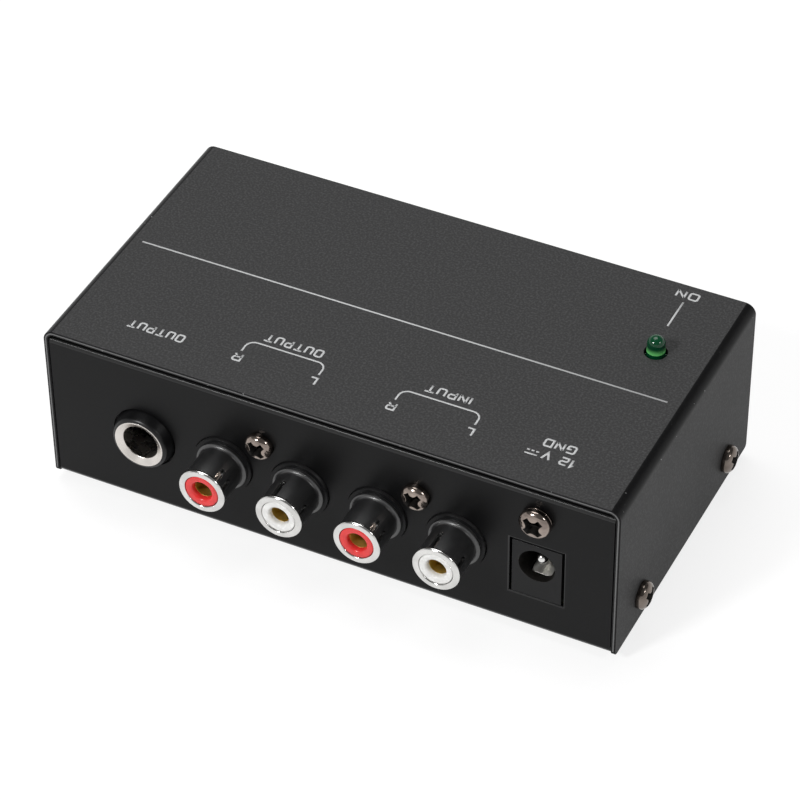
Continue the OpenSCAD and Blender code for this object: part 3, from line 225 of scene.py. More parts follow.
def make_piece(name, shape, materials, nodes=(), body="case", smooth=35):
    """Object of a finished shape, given in mm, that stands for CAD nodes and rides on a body.
    Edges that turn by more than smooth, in degrees, stay sharp."""
    bmesh.ops.scale(shape, vec=(MM,) * 3, verts=shape.verts)
    mesh = bpy.data.meshes.new(name)
    shape.to_mesh(mesh)
    shape.free()
    mesh.shade_smooth()
    mesh.set_sharp_from_angle(angle=math.radians(smooth))
    for material in materials:
        mesh.materials.append(material)
    made = bpy.data.objects.new(name, mesh)
    scene.collection.objects.link(made)
    even = made.modifiers.new("even_shading", "WEIGHTED_NORMAL")
    even.mode, even.keep_sharp = "FACE_AREA", True
    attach(made, body)
    if nodes:
        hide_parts(*nodes)
    return made


def new_group(name, inputs):
    """Shader node group with named inputs, each with its first value, and three outputs. Gives
    the sockets of its inputs and of a place on the piece too."""
    group = bpy.data.node_groups.new(name, "ShaderNodeTree")
    for socket, value in inputs.items():
        kind = "NodeSocketColor" if isinstance(value, tuple) else "NodeSocketFloat"
        made = group.interface.new_socket(socket, in_out="INPUT", socket_type=kind)
        made.default_value = value
    for socket, kind in (("Colour", "Color"), ("Roughness", "Float"), ("Height", "Float")):
        group.interface.new_socket(socket, in_out="OUTPUT", socket_type="NodeSocket" + kind)
    place = add_node(group, "TexCoord").outputs["Object"]
    return group, group.nodes.new("NodeGroupInput").outputs, place


def end_group(group, colour, roughness, height):
    """Links a group's three outputs."""
    ends = group.nodes.new("NodeGroupOutput").inputs
    for end, value in zip(ends, (colour, roughness, height)):
        group.links.new(socket_of(value), end)


def blended(tree, share, first, second):
    """Colour between two colours, by a share."""
    return add_node(tree, "Mix", {0: share, 6: first, 7: second}, data_type="RGBA").outputs[2]


def patchy(tree, place, scale, detail, low, high, roughness=0.5):
    """Noise over a piece, and its share of the way from a low to a high level."""
    noise = add_node(tree, "TexNoise", {"Vector": place, "Scale": scale, "Detail": detail,
                                        "Roughness": roughness})
    return noise, add_node(tree, "MapRange", {"Value": noise, "From Min": low, "From Max": high})


# Baked paint: fine grains that are lighter than the paint, slow clouds of gloss, and wear that
# leaves a few bright chips
paint_group, paint_in, paint_place = new_group("baked_paint", {
    "Paint": grey(0.02), "Grain": grey(0.05), "Amount": 0.5, "Density": 2600.0, "Gloss": 0.5,
    "Gloss Change": 0.06, "Wear": 0.0})
grains, flecks = patchy(paint_group, paint_place, paint_in["Density"], 2.0, 0.45, 0.7, 0.6)
fleck_share = maths(paint_group, "MULTIPLY", flecks, paint_in["Amount"])
clouds = add_node(paint_group, "TexNoise", {"Vector": paint_place, "Scale": 60.0, "Detail": 3.0})
cloud = add_node(paint_group, "MapRange", {"Value": clouds, "From Min": 0.3, "From Max": 0.7,
                                           "To Min": -1.0, "To Max": 1.0})
swing = maths(paint_group, "MULTIPLY_ADD", cloud, paint_in["Gloss Change"], paint_in["Gloss"])
chips = patchy(paint_group, paint_place, 1300.0, 2.0, 0.73, 0.76)[1]
chip_share = maths(paint_group, "MULTIPLY", chips, paint_in["Wear"])
whole = blended(paint_group, fleck_share, paint_in["Paint"], paint_in["Grain"])
end_group(paint_group, blended(paint_group, chip_share, whole, grey(0.5)), swing, grains)


def new_material(name, group, values, depth, **sockets):
    """Material whose colour, roughness and bump come from a group, given its values. The bump
    is that many mm deep. The shader's plain sockets are set by their names."""
    material = bpy.data.materials.new(name)
    material.use_nodes = True
    tree = material.node_tree
    shader = tree.nodes["Principled BSDF"]
    for socket, value in sockets.items():
        shader.inputs[socket.replace("_", " ")].default_value = value
    skin = add_node(tree, "Group", {
        socket: (*value, 1) if isinstance(value, tuple) else value
        for socket, value in values.items()}, node_tree=group).outputs
    bump = add_node(tree, "Bump", {"Height": skin["Height"], "Distance": depth * MM})
    tree.links.new(skin["Colour"], shader.inputs["Base Color"])
    tree.links.new(skin["Roughness"], shader.inputs["Roughness"])
    tree.links.new(bump.outputs["Normal"], shader.inputs["Normal"])
    return material


def painted(name, paint, grain, gloss, depth, specular, density=2200.0, amount=0.5, wear=0.0):
    """Baked paint of one colour, with grains of another."""
    values = {"Paint": paint, "Grain": grain, "Amount": amount, "Density": density,
              "Gloss": gloss, "Gloss Change": 0.02, "Wear": wear}
    return new_material(name, paint_group, values, depth, Specular_IOR_Level=specular)


satin_paint = painted("satin_black_paint", (0.0030, 0.0030, 0.0033), (0.0052, 0.0052, 0.0055),
                      gloss=0.36, depth=0.002, specular=0.14)
satin_bend = painted("satin_paint_on_bends", (0.003, 0.003, 0.0032), (0.005, 0.005, 0.0053),
                     gloss=0.28, depth=0.001, specular=0.4)
# A darker, duller copy for the top of the panel's bend, under the cover's edge: painted shade
satin_painted_shade = painted("satin_paint_painted_shade_under_the_cover", (0.0012, 0.0012, 0.0013),
                      (0.002, 0.002, 0.0021), gloss=0.36, depth=0.002, specular=0.03)
panel_low, panel_high = corners_of("connector_panel")
panel_y, chassis_bend = panel_low.y, 1.2
supply_low, supply_high = corners_of("dc_housing")

# Share of a face's direction that lies along an axis where it is flat, and where it looks up
flat, upward = 0.985, 0.66


def at_supply_opening(place):
    """Whether a point is on the front edge of the opening for the supply socket."""
    return (abs(place.y - panel_y) < 0.05 and supply_low.x - 0.5 < place.x < supply_high.x + 0.5
            and place.z < supply_high.z + 0.5)


def on_bend(way):
    """Whether a face looks between the axes, as on a rounded edge."""
    return max(abs(turn) for turn in way) < flat


chassis = softened(["chassis", "connector_panel"], 0.16, 3, seam=panel_y + chassis_bend,
                   fine=at_supply_opening, fine_width=0.3)
recoloured(chassis, 1, lambda middle, way: on_bend(way) and way.z < upward)
# The upper part of the bend at the top of the panel is painted darker: painted shade under the
# cover's edge
recoloured(chassis, 2, lambda middle, way: upward <= way.z < flat and middle.z > panel_high.z - 1)
make_piece("folded_chassis", chassis, [satin_paint, satin_bend, satin_painted_shade],
           ["chassis", "connector_panel"])

# -------- feet
# Four soft black rubber discs with a tapered side, stuck under the corners of the case.

# Moulded skin: an even colour with faint clouds, and a surface that isn't quite flat
moulded_group, moulded_in, moulded_place = new_group("moulded_skin", {
    "Dark": grey(0.01), "Light": grey(0.02), "Density": 900.0, "Gloss": 0.3,
    "Gloss Change": 0.03})
flow, tone = patchy(moulded_group, moulded_place, moulded_in["Density"], 3.0, 0.3, 0.7)
end_group(moulded_group, blended(moulded_group, tone, moulded_in["Dark"], moulded_in["Light"]),
          maths(moulded_group, "MULTIPLY_ADD", tone, moulded_in["Gloss Change"],
                moulded_in["Gloss"]), flow)


def moulded(name, colour, gloss, depth=0.003, density=900.0, **sockets):
    """Moulded plastic, rubber or lacquer of one colour."""
    values = {"Dark": tuple(channel * 0.92 for channel in colour),
              "Light": tuple(channel * 1.07 for channel in colour),
              "Density": density, "Gloss": gloss, "Gloss Change": gloss * 0.15}
    return new_material(name, moulded_group, values, depth, **sockets)


def soft_piece(name, node, width, material, body="case", segments=2):
    """Piece of one material: a CAD node with its corners rounded to a width."""
    make_piece(name, softened([node], width, segments), [material], [node], body)


foot_rubber = moulded("foot_rubber", (0.012, 0.012, 0.012), 0.8, depth=0.03, density=1500.0)
soft_piece("rubber_feet_soft", "rubber_feet", 0.25, foot_rubber, segments=3)

# -------- board fixing
# Two turned standoffs on the chassis floor, each with a plated pan-head screw from above. The
# screws have a rolled thread and a deep cross recess with rounded petals.

# Plated metal: a slightly cloudy colour and fine polishing marks
plated_group, plated_in, plated_place = new_group("plated_skin", {
    "Stain": grey(0.5), "Metal": grey(0.8), "Gloss": 0.2, "Gloss Change": 0.04})
clean = patchy(plated_group, plated_place, 350.0, 4.0, 0.35, 0.65)[1]
marks = add_node(plated_group, "TexNoise", {"Vector": plated_place, "Scale": 3000.0,
                                            "Detail": 2.0})
end_group(plated_group, blended(plated_group, clean, plated_in["Stain"], plated_in["Metal"]),
          maths(plated_group, "MULTIPLY_ADD", clean, plated_in["Gloss Change"],
                plated_in["Gloss"]), marks)


def plated(name, metal, stain, gloss):
    """Bare or plated metal with its clean and its stained colour."""
    values = {"Metal": metal, "Stain": stain, "Gloss": gloss, "Gloss Change": gloss * 0.3}
    return new_material(name, plated_group, values, 0.002, Metallic=1.0)


nickel = plated("bright_nickel", (0.72, 0.715, 0.70), (0.60, 0.595, 0.58), 0.13)
screw_steel = plated("screw_steel", (0.38, 0.32, 0.28), (0.22, 0.18, 0.16), 0.14)
# Near-black, unmetallic colour for the screws' cross recesses and the supply socket's mouth:
# painted shade in the hollows
recess_painted_shade = moulded("recess_painted_shade", (0.010, 0.009, 0.008), 0.45, Specular_IOR_Level=0.2)


def arc(radius, height, bend, start, end, steps, tall=None):
    """Points of an arc of a profile, round a centre, between two angles from the radius axis.
    It is as high as it is wide, or tall."""
    angles = [math.radians(start + (end - start) * step / steps) for step in range(steps + 1)]
    return [(radius + bend * math.cos(angle), height + (tall or bend) * math.sin(angle))
            for angle in angles]


def cross_cutter(span, width, depth):
    """Tapered cross with rounded inner corners: what the driver leaves in a screw's head."""
    shape = bmesh.new()
    bmesh.ops.create_grid(shape, x_segments=3, y_segments=3, size=1)
    for vert in shape.verts:
        for way in (0, 1):
            reach = span if abs(vert.co[way]) > 0.5 else width
            vert.co[way] = math.copysign(reach / 2, vert.co[way])
    corners = [face for face in shape.faces
               if all(abs(way) > width / 2 for way in face.calc_center_median()[:2])]
    bmesh.ops.delete(shape, geom=corners, context="FACES")
    inner = [vert for vert in shape.verts if max(abs(vert.co.x), abs(vert.co.y)) < width]
    deep = bmesh.ops.extrude_face_region(shape, geom=list(shape.faces))["geom"]
    deep = [item for item in deep if isinstance(item, bmesh.types.BMVert)]
    bmesh.ops.translate(shape, vec=(0, 0, -depth), verts=deep)
    bmesh.ops.scale(shape, vec=(0.55, 0.55, 1), verts=deep)
    petals = [edge for vert in inner for edge in vert.link_edges
              if abs(edge.verts[0].co.z - edge.verts[1].co.z) > depth / 2]
    rounded_edges(shape, petals, width * 0.8, 5)
    # The recess's faces take the second slot, which paints them near-black: painted shade
    for face in shape.faces:
        face.material_index = 1
    bmesh.ops.recalc_face_normals(shape, faces=shape.faces)
    return shape


def cut_away(shape, cutter):
    """Shape less the cutter. Faces that the cutter leaves keep its material's number."""
    held = []
    for name, part in (("blank", shape), ("cutter", cutter)):
        mesh = bpy.data.meshes.new(name)
        part.to_mesh(mesh)
        part.free()
        for slot in range(2):
            mesh.materials.append(None)
        held.append(bpy.data.objects.new(name, mesh))
        scene.collection.objects.link(held[-1])
    cut = held[0].modifiers.new("cut", "BOOLEAN")
    cut.operation, cut.solver, cut.object = "DIFFERENCE", "EXACT", held[1]
    bpy.context.view_layer.update()
    result = bmesh.new()
    result.from_object(held[0], bpy.context.evaluated_depsgraph_get())
    for made in held:
        mesh = made.data
        bpy.data.objects.remove(made)
        bpy.data.meshes.remove(mesh)
    return result


def add_thread(shape, radius, start, end):
    """Closed helical ridge round a shank, from a height down to another."""
    pitch, ridge_height, turn_steps = 0.5, 0.28, 24
    half = pitch * 0.42
    loop = [shape.verts.new((radius - out, 0, start - half + rise))
            for out, rise in ((ridge_height, -half), (0, 0), (ridge_height, half))]
    lines = [shape.edges.new(pair) for pair in zip(loop, loop[1:] + loop[:1])]
    before = set(shape.faces)
    steps = int((start - end - 2 * half) / pitch * turn_steps)
    bmesh.ops.spin(shape, geom=loop + lines, cent=(0, 0, 0), axis=(0, 0, 1),
                   dvec=(0, 0, -pitch / turn_steps), angle=math.tau * steps / turn_steps,
                   steps=steps)
    ridge = [face for face in shape.faces if face not in before]
    ends = list({edge for face in ridge for edge in face.edges if edge.is_boundary})
    caps = bmesh.ops.holes_fill(shape, edges=ends, sides=3)["faces"]
    bmesh.ops.recalc_face_normals(shape, faces=ridge + caps)


def pan_screw(head_r, head_h, shank_r, length):
    """Screw with its seat at height 0 and its cross recess turned 45 degrees."""
    rim, fall, shoulder = 0.34 * head_h, 0.62 * head_h, 0.7 * head_r
    crown_r, core = head_r - shoulder, shank_r - 0.24
    chamfer, fillet, rim_round = 0.35, 0.15, 0.1
    head = bmesh.new()
    turned(head, [(0, -length), (core - chamfer, -length), (core, chamfer - length),
                  (core, -fillet), (core + fillet, 0), (head_r - rim_round, 0),
                  (head_r, rim_round)]
           + arc(crown_r, rim, shoulder, 0, 90, 6, tall=fall)
           + [(crown_r / 2, head_h - 0.02), (0, head_h)], steps=48)
    cutter = cross_cutter(head_r * 1.5, head_r * 0.44, head_h * 0.85)
    bmesh.ops.translate(cutter, vec=(0, 0, head_h + 0.05), verts=cutter.verts)
    bmesh.ops.rotate(cutter, matrix=Matrix.Rotation(math.pi / 4, 3, "Z"), verts=cutter.verts)
    screw = cut_away(head, cutter)
    rim_edges = [edge for edge in screw.edges if len(edge.link_faces) == 2
                 and edge.link_faces[0].material_index != edge.link_faces[1].material_index]
    rounded_edges(screw, rim_edges, 0.06, 2)
    add_thread(screw, shank_r, -0.3, -length + 0.2)
    return screw


def screw_piece(name, node, screw, places, steel, body="case"):
    """Piece of copies of one screw, one at each place."""
    mesh = bpy.data.meshes.new("screw")
    screw.to_mesh(mesh)
    screw.free()
    screws = bmesh.new()
    for place in places:
        before = set(screws.verts)
        screws.from_mesh(mesh)
        bmesh.ops.transform(screws, matrix=place,
                            verts=[vert for vert in screws.verts if vert not in before])
    bpy.data.meshes.remove(mesh)
    make_piece(name, screws, [steel, recess_painted_shade], [node], body)


screw_r, head_r, head_h, standoff_r = 1.4, 2.45, 1.9, 2.5
board_top = corners_of("circuit_board")[1].z
standoff_low, standoff_high = corners_of("board_standoffs")
soft_piece("turned_standoffs", "board_standoffs", 0.25, nickel)
screw_piece("standoff_screws", "board_screws", pan_screw(head_r, head_h, screw_r, length=4.6),
            [Matrix.Translation((side * (standoff_high.x - standoff_r),
                                 standoff_low.y + standoff_r, board_top)) for side in (-1, 1)],
            screw_steel)

# -------- circuit board
# Glass-fibre board under green solder mask. Copper tracks show through the mask as raised,
# lighter bands, and the drilled holes are bare.
board_group, board_in, board_place = new_group("masked_board", {
    "Mask": (0.008, 0.09, 0.035, 1), "Track": (0.015, 0.15, 0.05, 1), "Gloss": 0.35})
tracks = add_node(board_group, "TexBrick", {
    "Vector": board_place, "Scale": 260.0, "Mortar Size": 0.09, "Mortar Smooth": 0.2,
    "Brick Width": 1.4, "Row Height": 0.66}).outputs["Fac"]
weave = add_node(board_group, "TexNoise", {"Vector": board_place, "Scale": 1800.0, "Detail": 2.0})
end_group(board_group, blended(board_group, tracks, board_in["Mask"], board_in["Track"]),
          maths(board_group, "MULTIPLY_ADD", weave, 0.12, board_in["Gloss"]), tracks)
solder_mask = new_material("solder_mask", board_group, {}, 0.035)
glass_fibre = moulded("glass_fibre", (0.42, 0.40, 0.22), 0.6, depth=0.02, density=2500.0)

board = softened(["circuit_board"], 0)
recoloured(board, 1, lambda middle, way: abs(way.z) < 0.5)
make_piece("masked_board", board, [solder_mask, glass_fibre], ["circuit_board"])

# -------- phono sockets
# A glossy black moulding carries each pair. Its stepped barrels stand out of the panel, with
# slots that show the nickel shell inside. Red is the right channel, white the left.
barrel_end, ring_face, ring_r, barrel_r, tail_half = 7.0, 7.9, 4.2, 4.0, 0.7
red_low, red_high = corners_of("red_rca_insulators")
white_low, white_high = corners_of("white_rca_insulators")
socket_z = (red_low.z + red_high.z) / 2
red_x = [red_low.x + ring_r, red_high.x - ring_r]
white_x = [white_low.x + ring_r, white_high.x - ring_r]
pair_places = {"output": (red_x[0], white_x[0]), "input": (red_x[1], white_x[1])}


def on_panel(x, z, out=0):
    """From a socket's own frame, with its axis out of the panel's face, to the case."""
    return Matrix.Translation((x, panel_y - out, z)) @ Matrix.Rotation(math.pi / 2, 4, "X")


def block(shape, low, high):
    """Square block between two corners."""
    low, high = Vector(low), Vector(high)
    verts = bmesh.ops.create_cube(shape, size=1)["verts"]
    bmesh.ops.scale(shape, vec=high - low, verts=verts)
    bmesh.ops.translate(shape, vec=(low + high) / 2, verts=verts)
    return verts


def turned_on_panel(shape, x, profile, steps=96, closed=True, tail=None):
    """Adds a turned shape at a socket, and a square tail between two corners."""
    added = turned(shape, profile, closed, steps)
    if tail:
        added += block(shape, *tail)
    bmesh.ops.transform(shape, matrix=on_panel(x, socket_z), verts=added)


gloss_black = moulded("gloss_black", (0.012, 0.012, 0.0125), 0.34, 0.0005, Specular_IOR_Level=1.0)
# A darker, duller copy of the same moulding for the faces that look out of the panel: painted
# shade in place of their reflection of the pale floor
face_black_painted_dark = moulded("face_black_painted_dark", (0.007, 0.007, 0.0075), 0.30, 0.002, Specular_IOR_Level=0.12)

# Each barrel grows out of its collar in a fillet
root_at, root_bend = 0.9, 0.6
root_profile = ([(barrel_r - 0.05, root_at - 0.1), (barrel_r - 0.05, root_at + root_bend)]
                + arc(barrel_r + root_bend, root_at + root_bend, root_bend, 180, 270, 8)
                + [(barrel_r + root_bend, root_at - 0.1)])
for pair, places in pair_places.items():
    moulding = softened([pair + "_rca_housing"], 0.2, 3)
    # Faces that look straight out of the panel take the darker copy: painted shade
    recoloured(moulding, 1, lambda middle, way: way.y < -0.9)
    for x in places:
        turned_on_panel(moulding, x, root_profile)
    make_piece(pair + "_moulding", moulding, [gloss_black, face_black_painted_dark],
               [pair + "_rca_housing"])

# Nickel shell: a ring with a rounded lip and a bevelled back, a tube inside the barrel, a tail
shell_in, shell_out, shell_rear, lip = 3.05, 3.4, -8.6, 0.42
tail_top, tail_front, tail_back = -3.2, -5.6, -6.0
ring_profile = ([(shell_in, shell_rear), (shell_out, shell_rear), (shell_out, barrel_end),
                 (barrel_r - 0.02, barrel_end), (ring_r - 0.02, ring_face - lip - 0.06)]
                + arc(ring_r - lip, ring_face - lip, lip, 0, 80, 7)
                + arc(shell_in + 0.3, ring_face - 0.28, 0.3, 80, 180, 5))
for pair, places in pair_places.items():
    tail_foot = corners_of(pair + "_rca_shells")[0].z - socket_z
    shells = bmesh.new()
    for x in places:
        turned_on_panel(shells, x, ring_profile, tail=((-tail_half, tail_foot, tail_back),
                                                       (tail_half, tail_top, tail_front)))
    make_piece(pair + "_nickel_shells", shells, [nickel], [pair + "_rca_shells"],
               smooth=50)

# Insulator: a glossy face with a rounded rim and a smooth mouth, and a flange at the back
face_at, insulator_r, bore_r, contact_r, contact_front = 7.75, 3.0, 1.65, 1.9, 6.75
insulator_rear, insulator_seat, flange_r = -10.2, -9.0, 4.2
mouth_r, mouth_depth = 2.15, 0.95
insulator_profile = (
    [(contact_r, insulator_rear), (flange_r, insulator_rear), (flange_r, insulator_seat),
     (insulator_r, insulator_seat)]
    + arc(insulator_r - 0.18, face_at - 0.18, 0.18, 0, 90, 4)
    + arc(mouth_r + 0.12, face_at - 0.03, 0.03, 90, 150, 2)
    + arc(mouth_r, face_at - mouth_depth, mouth_r - bore_r, 90, 180, 5, tall=mouth_depth)
    + [(bore_r, contact_front), (contact_r, contact_front)])
red_plastic = moulded("red_insulator", (0.80, 0.035, 0.035), 0.22, 0.001,
                      Subsurface_Weight=0.04, Subsurface_Radius=(0.0004, 0.0001, 0.0001))
white_plastic = moulded("white_insulator", (0.90, 0.895, 0.875), 0.25, 0.001,
                        Subsurface_Weight=0.05, Subsurface_Radius=(0.0004, 0.0004, 0.0004))
for colour, material, places in (("red", red_plastic, red_x), ("white", white_plastic, white_x)):
    insulators = bmesh.new()
    for x in places:
        turned_on_panel(insulators, x, insulator_profile, steps=64)
    make_piece(colour + "_insulators", insulators, [material],
               [colour + "_rca_insulators"], smooth=50)

# Centre contact: a brass tube with a rounded mouth, closed and flanged at the back, and a tail
brass = plated("contact_brass", (0.86, 0.66, 0.20), (0.72, 0.54, 0.14), 0.45)
contact_rear, contact_floor = insulator_rear - 0.4, face_at - 15.2
contact_foot = corners_of("rca_centre_contacts")[0].z - socket_z
contact_profile = (
    [(0, contact_rear), (insulator_r, contact_rear), (insulator_r, insulator_rear),
     (contact_r, insulator_rear)]
    + arc(contact_r - 0.1, contact_front - 0.1, 0.1, 0, 90, 3)
    + arc(bore_r + 0.08, contact_front - 0.08, 0.08, 90, 180, 3)
    + [(bore_r, contact_floor), (0, contact_floor)])
contacts = bmesh.new()
for x in red_x + white_x:
    turned_on_panel(contacts, x, contact_profile, steps=48, closed=False,
                    tail=((-tail_half, contact_foot, contact_rear),
                          (tail_half, 0, insulator_rear)))
make_piece("brass_contacts", contacts, [brass], ["rca_centre_contacts"])

# The screw of each pair goes through the panel into the moulding
screw_low, screw_high = corners_of("rca_screws")
screw_piece("socket_screws", "rca_screws", pan_screw(head_r, head_h, screw_r, length=9.0),
            [on_panel(x, screw_low.z + head_r)
             for x in (screw_low.x + head_r, screw_high.x - head_r)], screw_steel)

# -------- headphone-size jack
# Black moulded body and bushing with a satin nickel ferrule. Two bronze springs wait inside for
# the plug's tip and ring, each held by a fixed lug.
bushing_black = moulded("bushing_black", (0.006, 0.006, 0.0065), 0.3, 0.002,
                        Specular_IOR_Level=0.3)
ferrule_nickel = plated("ferrule_nickel", (0.70, 0.665, 0.63), (0.62, 0.585, 0.55), 0.24)
spring_bronze = plated("spring_bronze", (0.66, 0.50, 0.30), (0.52, 0.38, 0.22), 0.25)
bushing_out, bushing_r, bushing_taper = 2.05, 5.65, 0.13


def middle_of(node):
    """Middle of a CAD node, in mm."""
    low, high = corners_of(node)
    return (low + high) / 2


jack_x = middle_of("jack_ferrule").x


def off_axis(place):
    """Distance of a point from the jack's axis."""
    return math.hypot(place.x - jack_x, place.z - socket_z)


def at_bushing_rim(place):
    """Whether a point is on the front rim of the bushing."""
    return abs(place.y - panel_y + bushing_out) < 0.05 and off_axis(place) > bushing_r - 0.3


jack_moulding = softened(["jack_housing"], 0.12, 3, fine=at_bushing_rim, fine_width=0.3)
for vert in jack_moulding.verts:
    out = (panel_y - vert.co.y) / bushing_out
    if out > 0 and off_axis(vert.co) > bushing_r - 0.6:
        vert.co.x = jack_x + (vert.co.x - jack_x) * (1 - bushing_taper * out)
        vert.co.z = socket_z + (vert.co.z - socket_z) * (1 - bushing_taper * out)
make_piece("jack_moulding", jack_moulding, [bushing_black], ["jack_housing"])

# The ferrule: a rim with a rounded lip, a cone inside it, and a tube with a lug at its end
rim_r, ferrule_bore_r, ferrule_out_r = 4.53, 3.22, 3.7
ferrule_rear, rim_back = bushing_out - 5.5, bushing_out - 0.68
ferrule_foot = corners_of("jack_ferrule")[0].z - socket_z
ferrule_profile = (
    [(ferrule_bore_r, ferrule_rear), (ferrule_out_r, ferrule_rear), (ferrule_out_r, rim_back),
     (rim_r, rim_back)]
    + arc(rim_r - 0.16, bushing_out - 0.12, 0.16, 0, 130, 6)
    + arc(ferrule_bore_r + 0.2, bushing_out - 0.72, 0.2, 120, 180, 4))
ferrule = bmesh.new()
turned_on_panel(ferrule, jack_x, ferrule_profile,
                tail=((-tail_half, ferrule_foot, ferrule_rear),
                      (tail_half, -ferrule_bore_r - 0.25, ferrule_rear + 0.4)))
make_piece("ferrule", ferrule, [ferrule_nickel], ["jack_ferrule"], smooth=50)
soft_piece("tip_spring", "jack_tip_spring", 0.08, spring_bronze, "tip_spring")
soft_piece("ring_spring", "jack_ring_spring", 0.08, spring_bronze,
           "ring_spring")
soft_piece("jack_spring_lugs", "jack_lugs", 0.08, spring_bronze)

# -------- dc socket
# Black moulding with a square face, a round-tipped centre pin and a leaf that presses on the
# plug's sleeve. Tinned lugs go down into the board.
socket_black = moulded("socket_black", (0.014, 0.014, 0.0145), 0.42, 0.003,
                       Specular_IOR_Level=0.13)
bright_tin = plated("bright_tin", (0.82, 0.82, 0.80), (0.70, 0.70, 0.68), 0.24)
# The leaf takes a paler copy of the tin: painted light, so that it shows bright deep in the
# socket's mouth
leaf_tin_painted_light = plated("leaf_tin_painted_light", (0.95, 0.94, 0.90), (0.90, 0.88, 0.82), 0.34)
face_out, foot_down, side_in, tip_out = 0.25, 0.2, 0.12, 0.8
face_depth, face_inner, tip_depth, pin_flange_r, dc_mouth_r = 0.6, 4, 6, 2.0, 3.3
dc_x, dc_z = middle_of("dc_centre_pin").x, corners_of("dc_centre_pin")[1].z - pin_flange_r
dc_moulding = softened(["dc_housing"], 0.25, 3)
front = [vert for vert in dc_moulding.verts if vert.co.y < panel_y + face_depth]
for vert in front:
    vert.co.y -= face_out
    if vert.co.z < board_top + 0.3:
        vert.co.z -= foot_down
    if abs(vert.co.x - dc_x) > face_inner:
        vert.co.x -= math.copysign(side_in, vert.co.x - dc_x)
recoloured(dc_moulding, 2, lambda middle, way: on_bend(way))
# Faces deep inside the socket's mouth take the near-black of the recesses: painted shade
recoloured(dc_moulding, 1, lambda middle, way: middle.y > panel_y + 0.35
           and math.hypot(middle.x - dc_x, middle.z - dc_z) < dc_mouth_r)
make_piece("dc_moulding", dc_moulding, [socket_black, recess_painted_shade, gloss_black],
           ["dc_housing"])
pin = softened(["dc_centre_pin"], 0.06)
bmesh.ops.translate(pin, vec=(0, -tip_out, 0),
                    verts=[vert for vert in pin.verts if vert.co.y < panel_y + tip_depth])
make_piece("dc_pin", pin, [nickel], ["dc_centre_pin"])
soft_piece("dc_leaf", "dc_leaf_spring", 0.12, leaf_tin_painted_light, "dc_leaf", segments=3)
soft_piece("dc_spring_lugs", "dc_lugs", 0.08, bright_tin)

# -------- ground terminal
# A large pan-head screw with a captive washer. Behind the panel its nut clamps a solder tag,
# whose green wire goes down to the board.
ground_seat, ground_middle = 0.5, middle_of("ground_screw")
screw_piece("ground_screw_turned", "ground_screw",
            pan_screw(head_r=2.75, head_h=1.8, shank_r=1.45, length=8.0),
            [on_panel(ground_middle.x, ground_middle.z, ground_seat)], screw_steel,
            "ground_bolt")
soft_piece("captive_washer", "ground_washer", 0.1, screw_steel, "ground_clamp")
soft_piece("ground_nut_hex", "ground_nut", 0.15, nickel)
soft_piece("solder_tag", "ground_tag", 0.08, bright_tin)
sleeve_green = moulded("sleeve_green", (0.02, 0.20, 0.04), 0.45)
soft_piece("ground_lead", "ground_wire", 0.1, sleeve_green)

# -------- lamp
# Three-millimetre green lens, cast round its two leads, with its flange under the cover. Its foot
# is painted a paler green: painted light for the light that the dome gathers there.
lens_low, lens_high = corners_of("lamp_lens")
lens_middle = middle_of("lamp_lens")
cover_low, cover_high = corners_of("top_cover")
cover_top = cover_high.z
lens_flange_r, lens_flange_top = 1.9, lens_low.z + 1.0
dome_low, dome_r = cover_top + 0.2, 1.55
lens_profile = ([(0, lens_low.z), (lens_flange_r - 0.08, lens_low.z),
                 (lens_flange_r, lens_low.z + 0.08), (lens_flange_r, lens_flange_top - 0.28),
                 (lens_flange_r - 0.28, lens_flange_top - 0.1), (dome_r + 0.03, dome_low)]
                + arc(0, lens_high.z - dome_r, dome_r, 0, 90, 18))
lens_shape = bmesh.new()
turned(lens_shape, lens_profile)
bmesh.ops.translate(lens_shape, vec=(lens_middle.x, lens_middle.y, 0), verts=lens_shape.verts)
lens_group, lens_in, lens_place = new_group("cast_lens", {
    "Dome": (0.001, 0.058, 0.021, 1), "Painted Foot Glow": (0.24, 0.92, 0.26, 1), "Edge": 0.0, "Low": 0.0,
    "High": 0.001, "Gloss": 0.09})
# Painted light: the green turns pale from High down to Low, though only above Edge, so the flange
# inside the cover's hole keeps the dark green of the dome
lens_height = add_node(lens_group, "SeparateXYZ", {"Vector": lens_place}).outputs["Z"]
foot_glow_share = add_node(lens_group, "MapRange", {
    "Value": lens_height, "From Min": lens_in["High"], "From Max": lens_in["Low"]},
    interpolation_type="SMOOTHSTEP")
glow_above_edge = maths(lens_group, "GREATER_THAN", lens_height, lens_in["Edge"])
painted_foot_glow = maths(lens_group, "MULTIPLY", foot_glow_share, glow_above_edge)
lens_noise = add_node(lens_group, "TexNoise", {"Vector": lens_place, "Scale": 700.0})
end_group(lens_group, blended(lens_group, painted_foot_glow, lens_in["Dome"], lens_in["Painted Foot Glow"]),
          maths(lens_group, "MULTIPLY_ADD", lens_noise, 0.02, lens_in["Gloss"]), lens_noise)
lens_green = new_material("lens_green", lens_group, {
    "Edge": (cover_top + 0.4) * MM, "Low": (cover_top + 0.1) * MM,
    "High": (cover_top + 1.7) * MM}, 0.0005, IOR=1.5, Transmission_Weight=0.12,
    Specular_IOR_Level=0.35)
make_piece("cast_lens", lens_shape, [lens_green], ["lamp_lens"], smooth=50)
soft_piece("lamp_leads_tinned", "lamp_leads", 0.08, bright_tin)

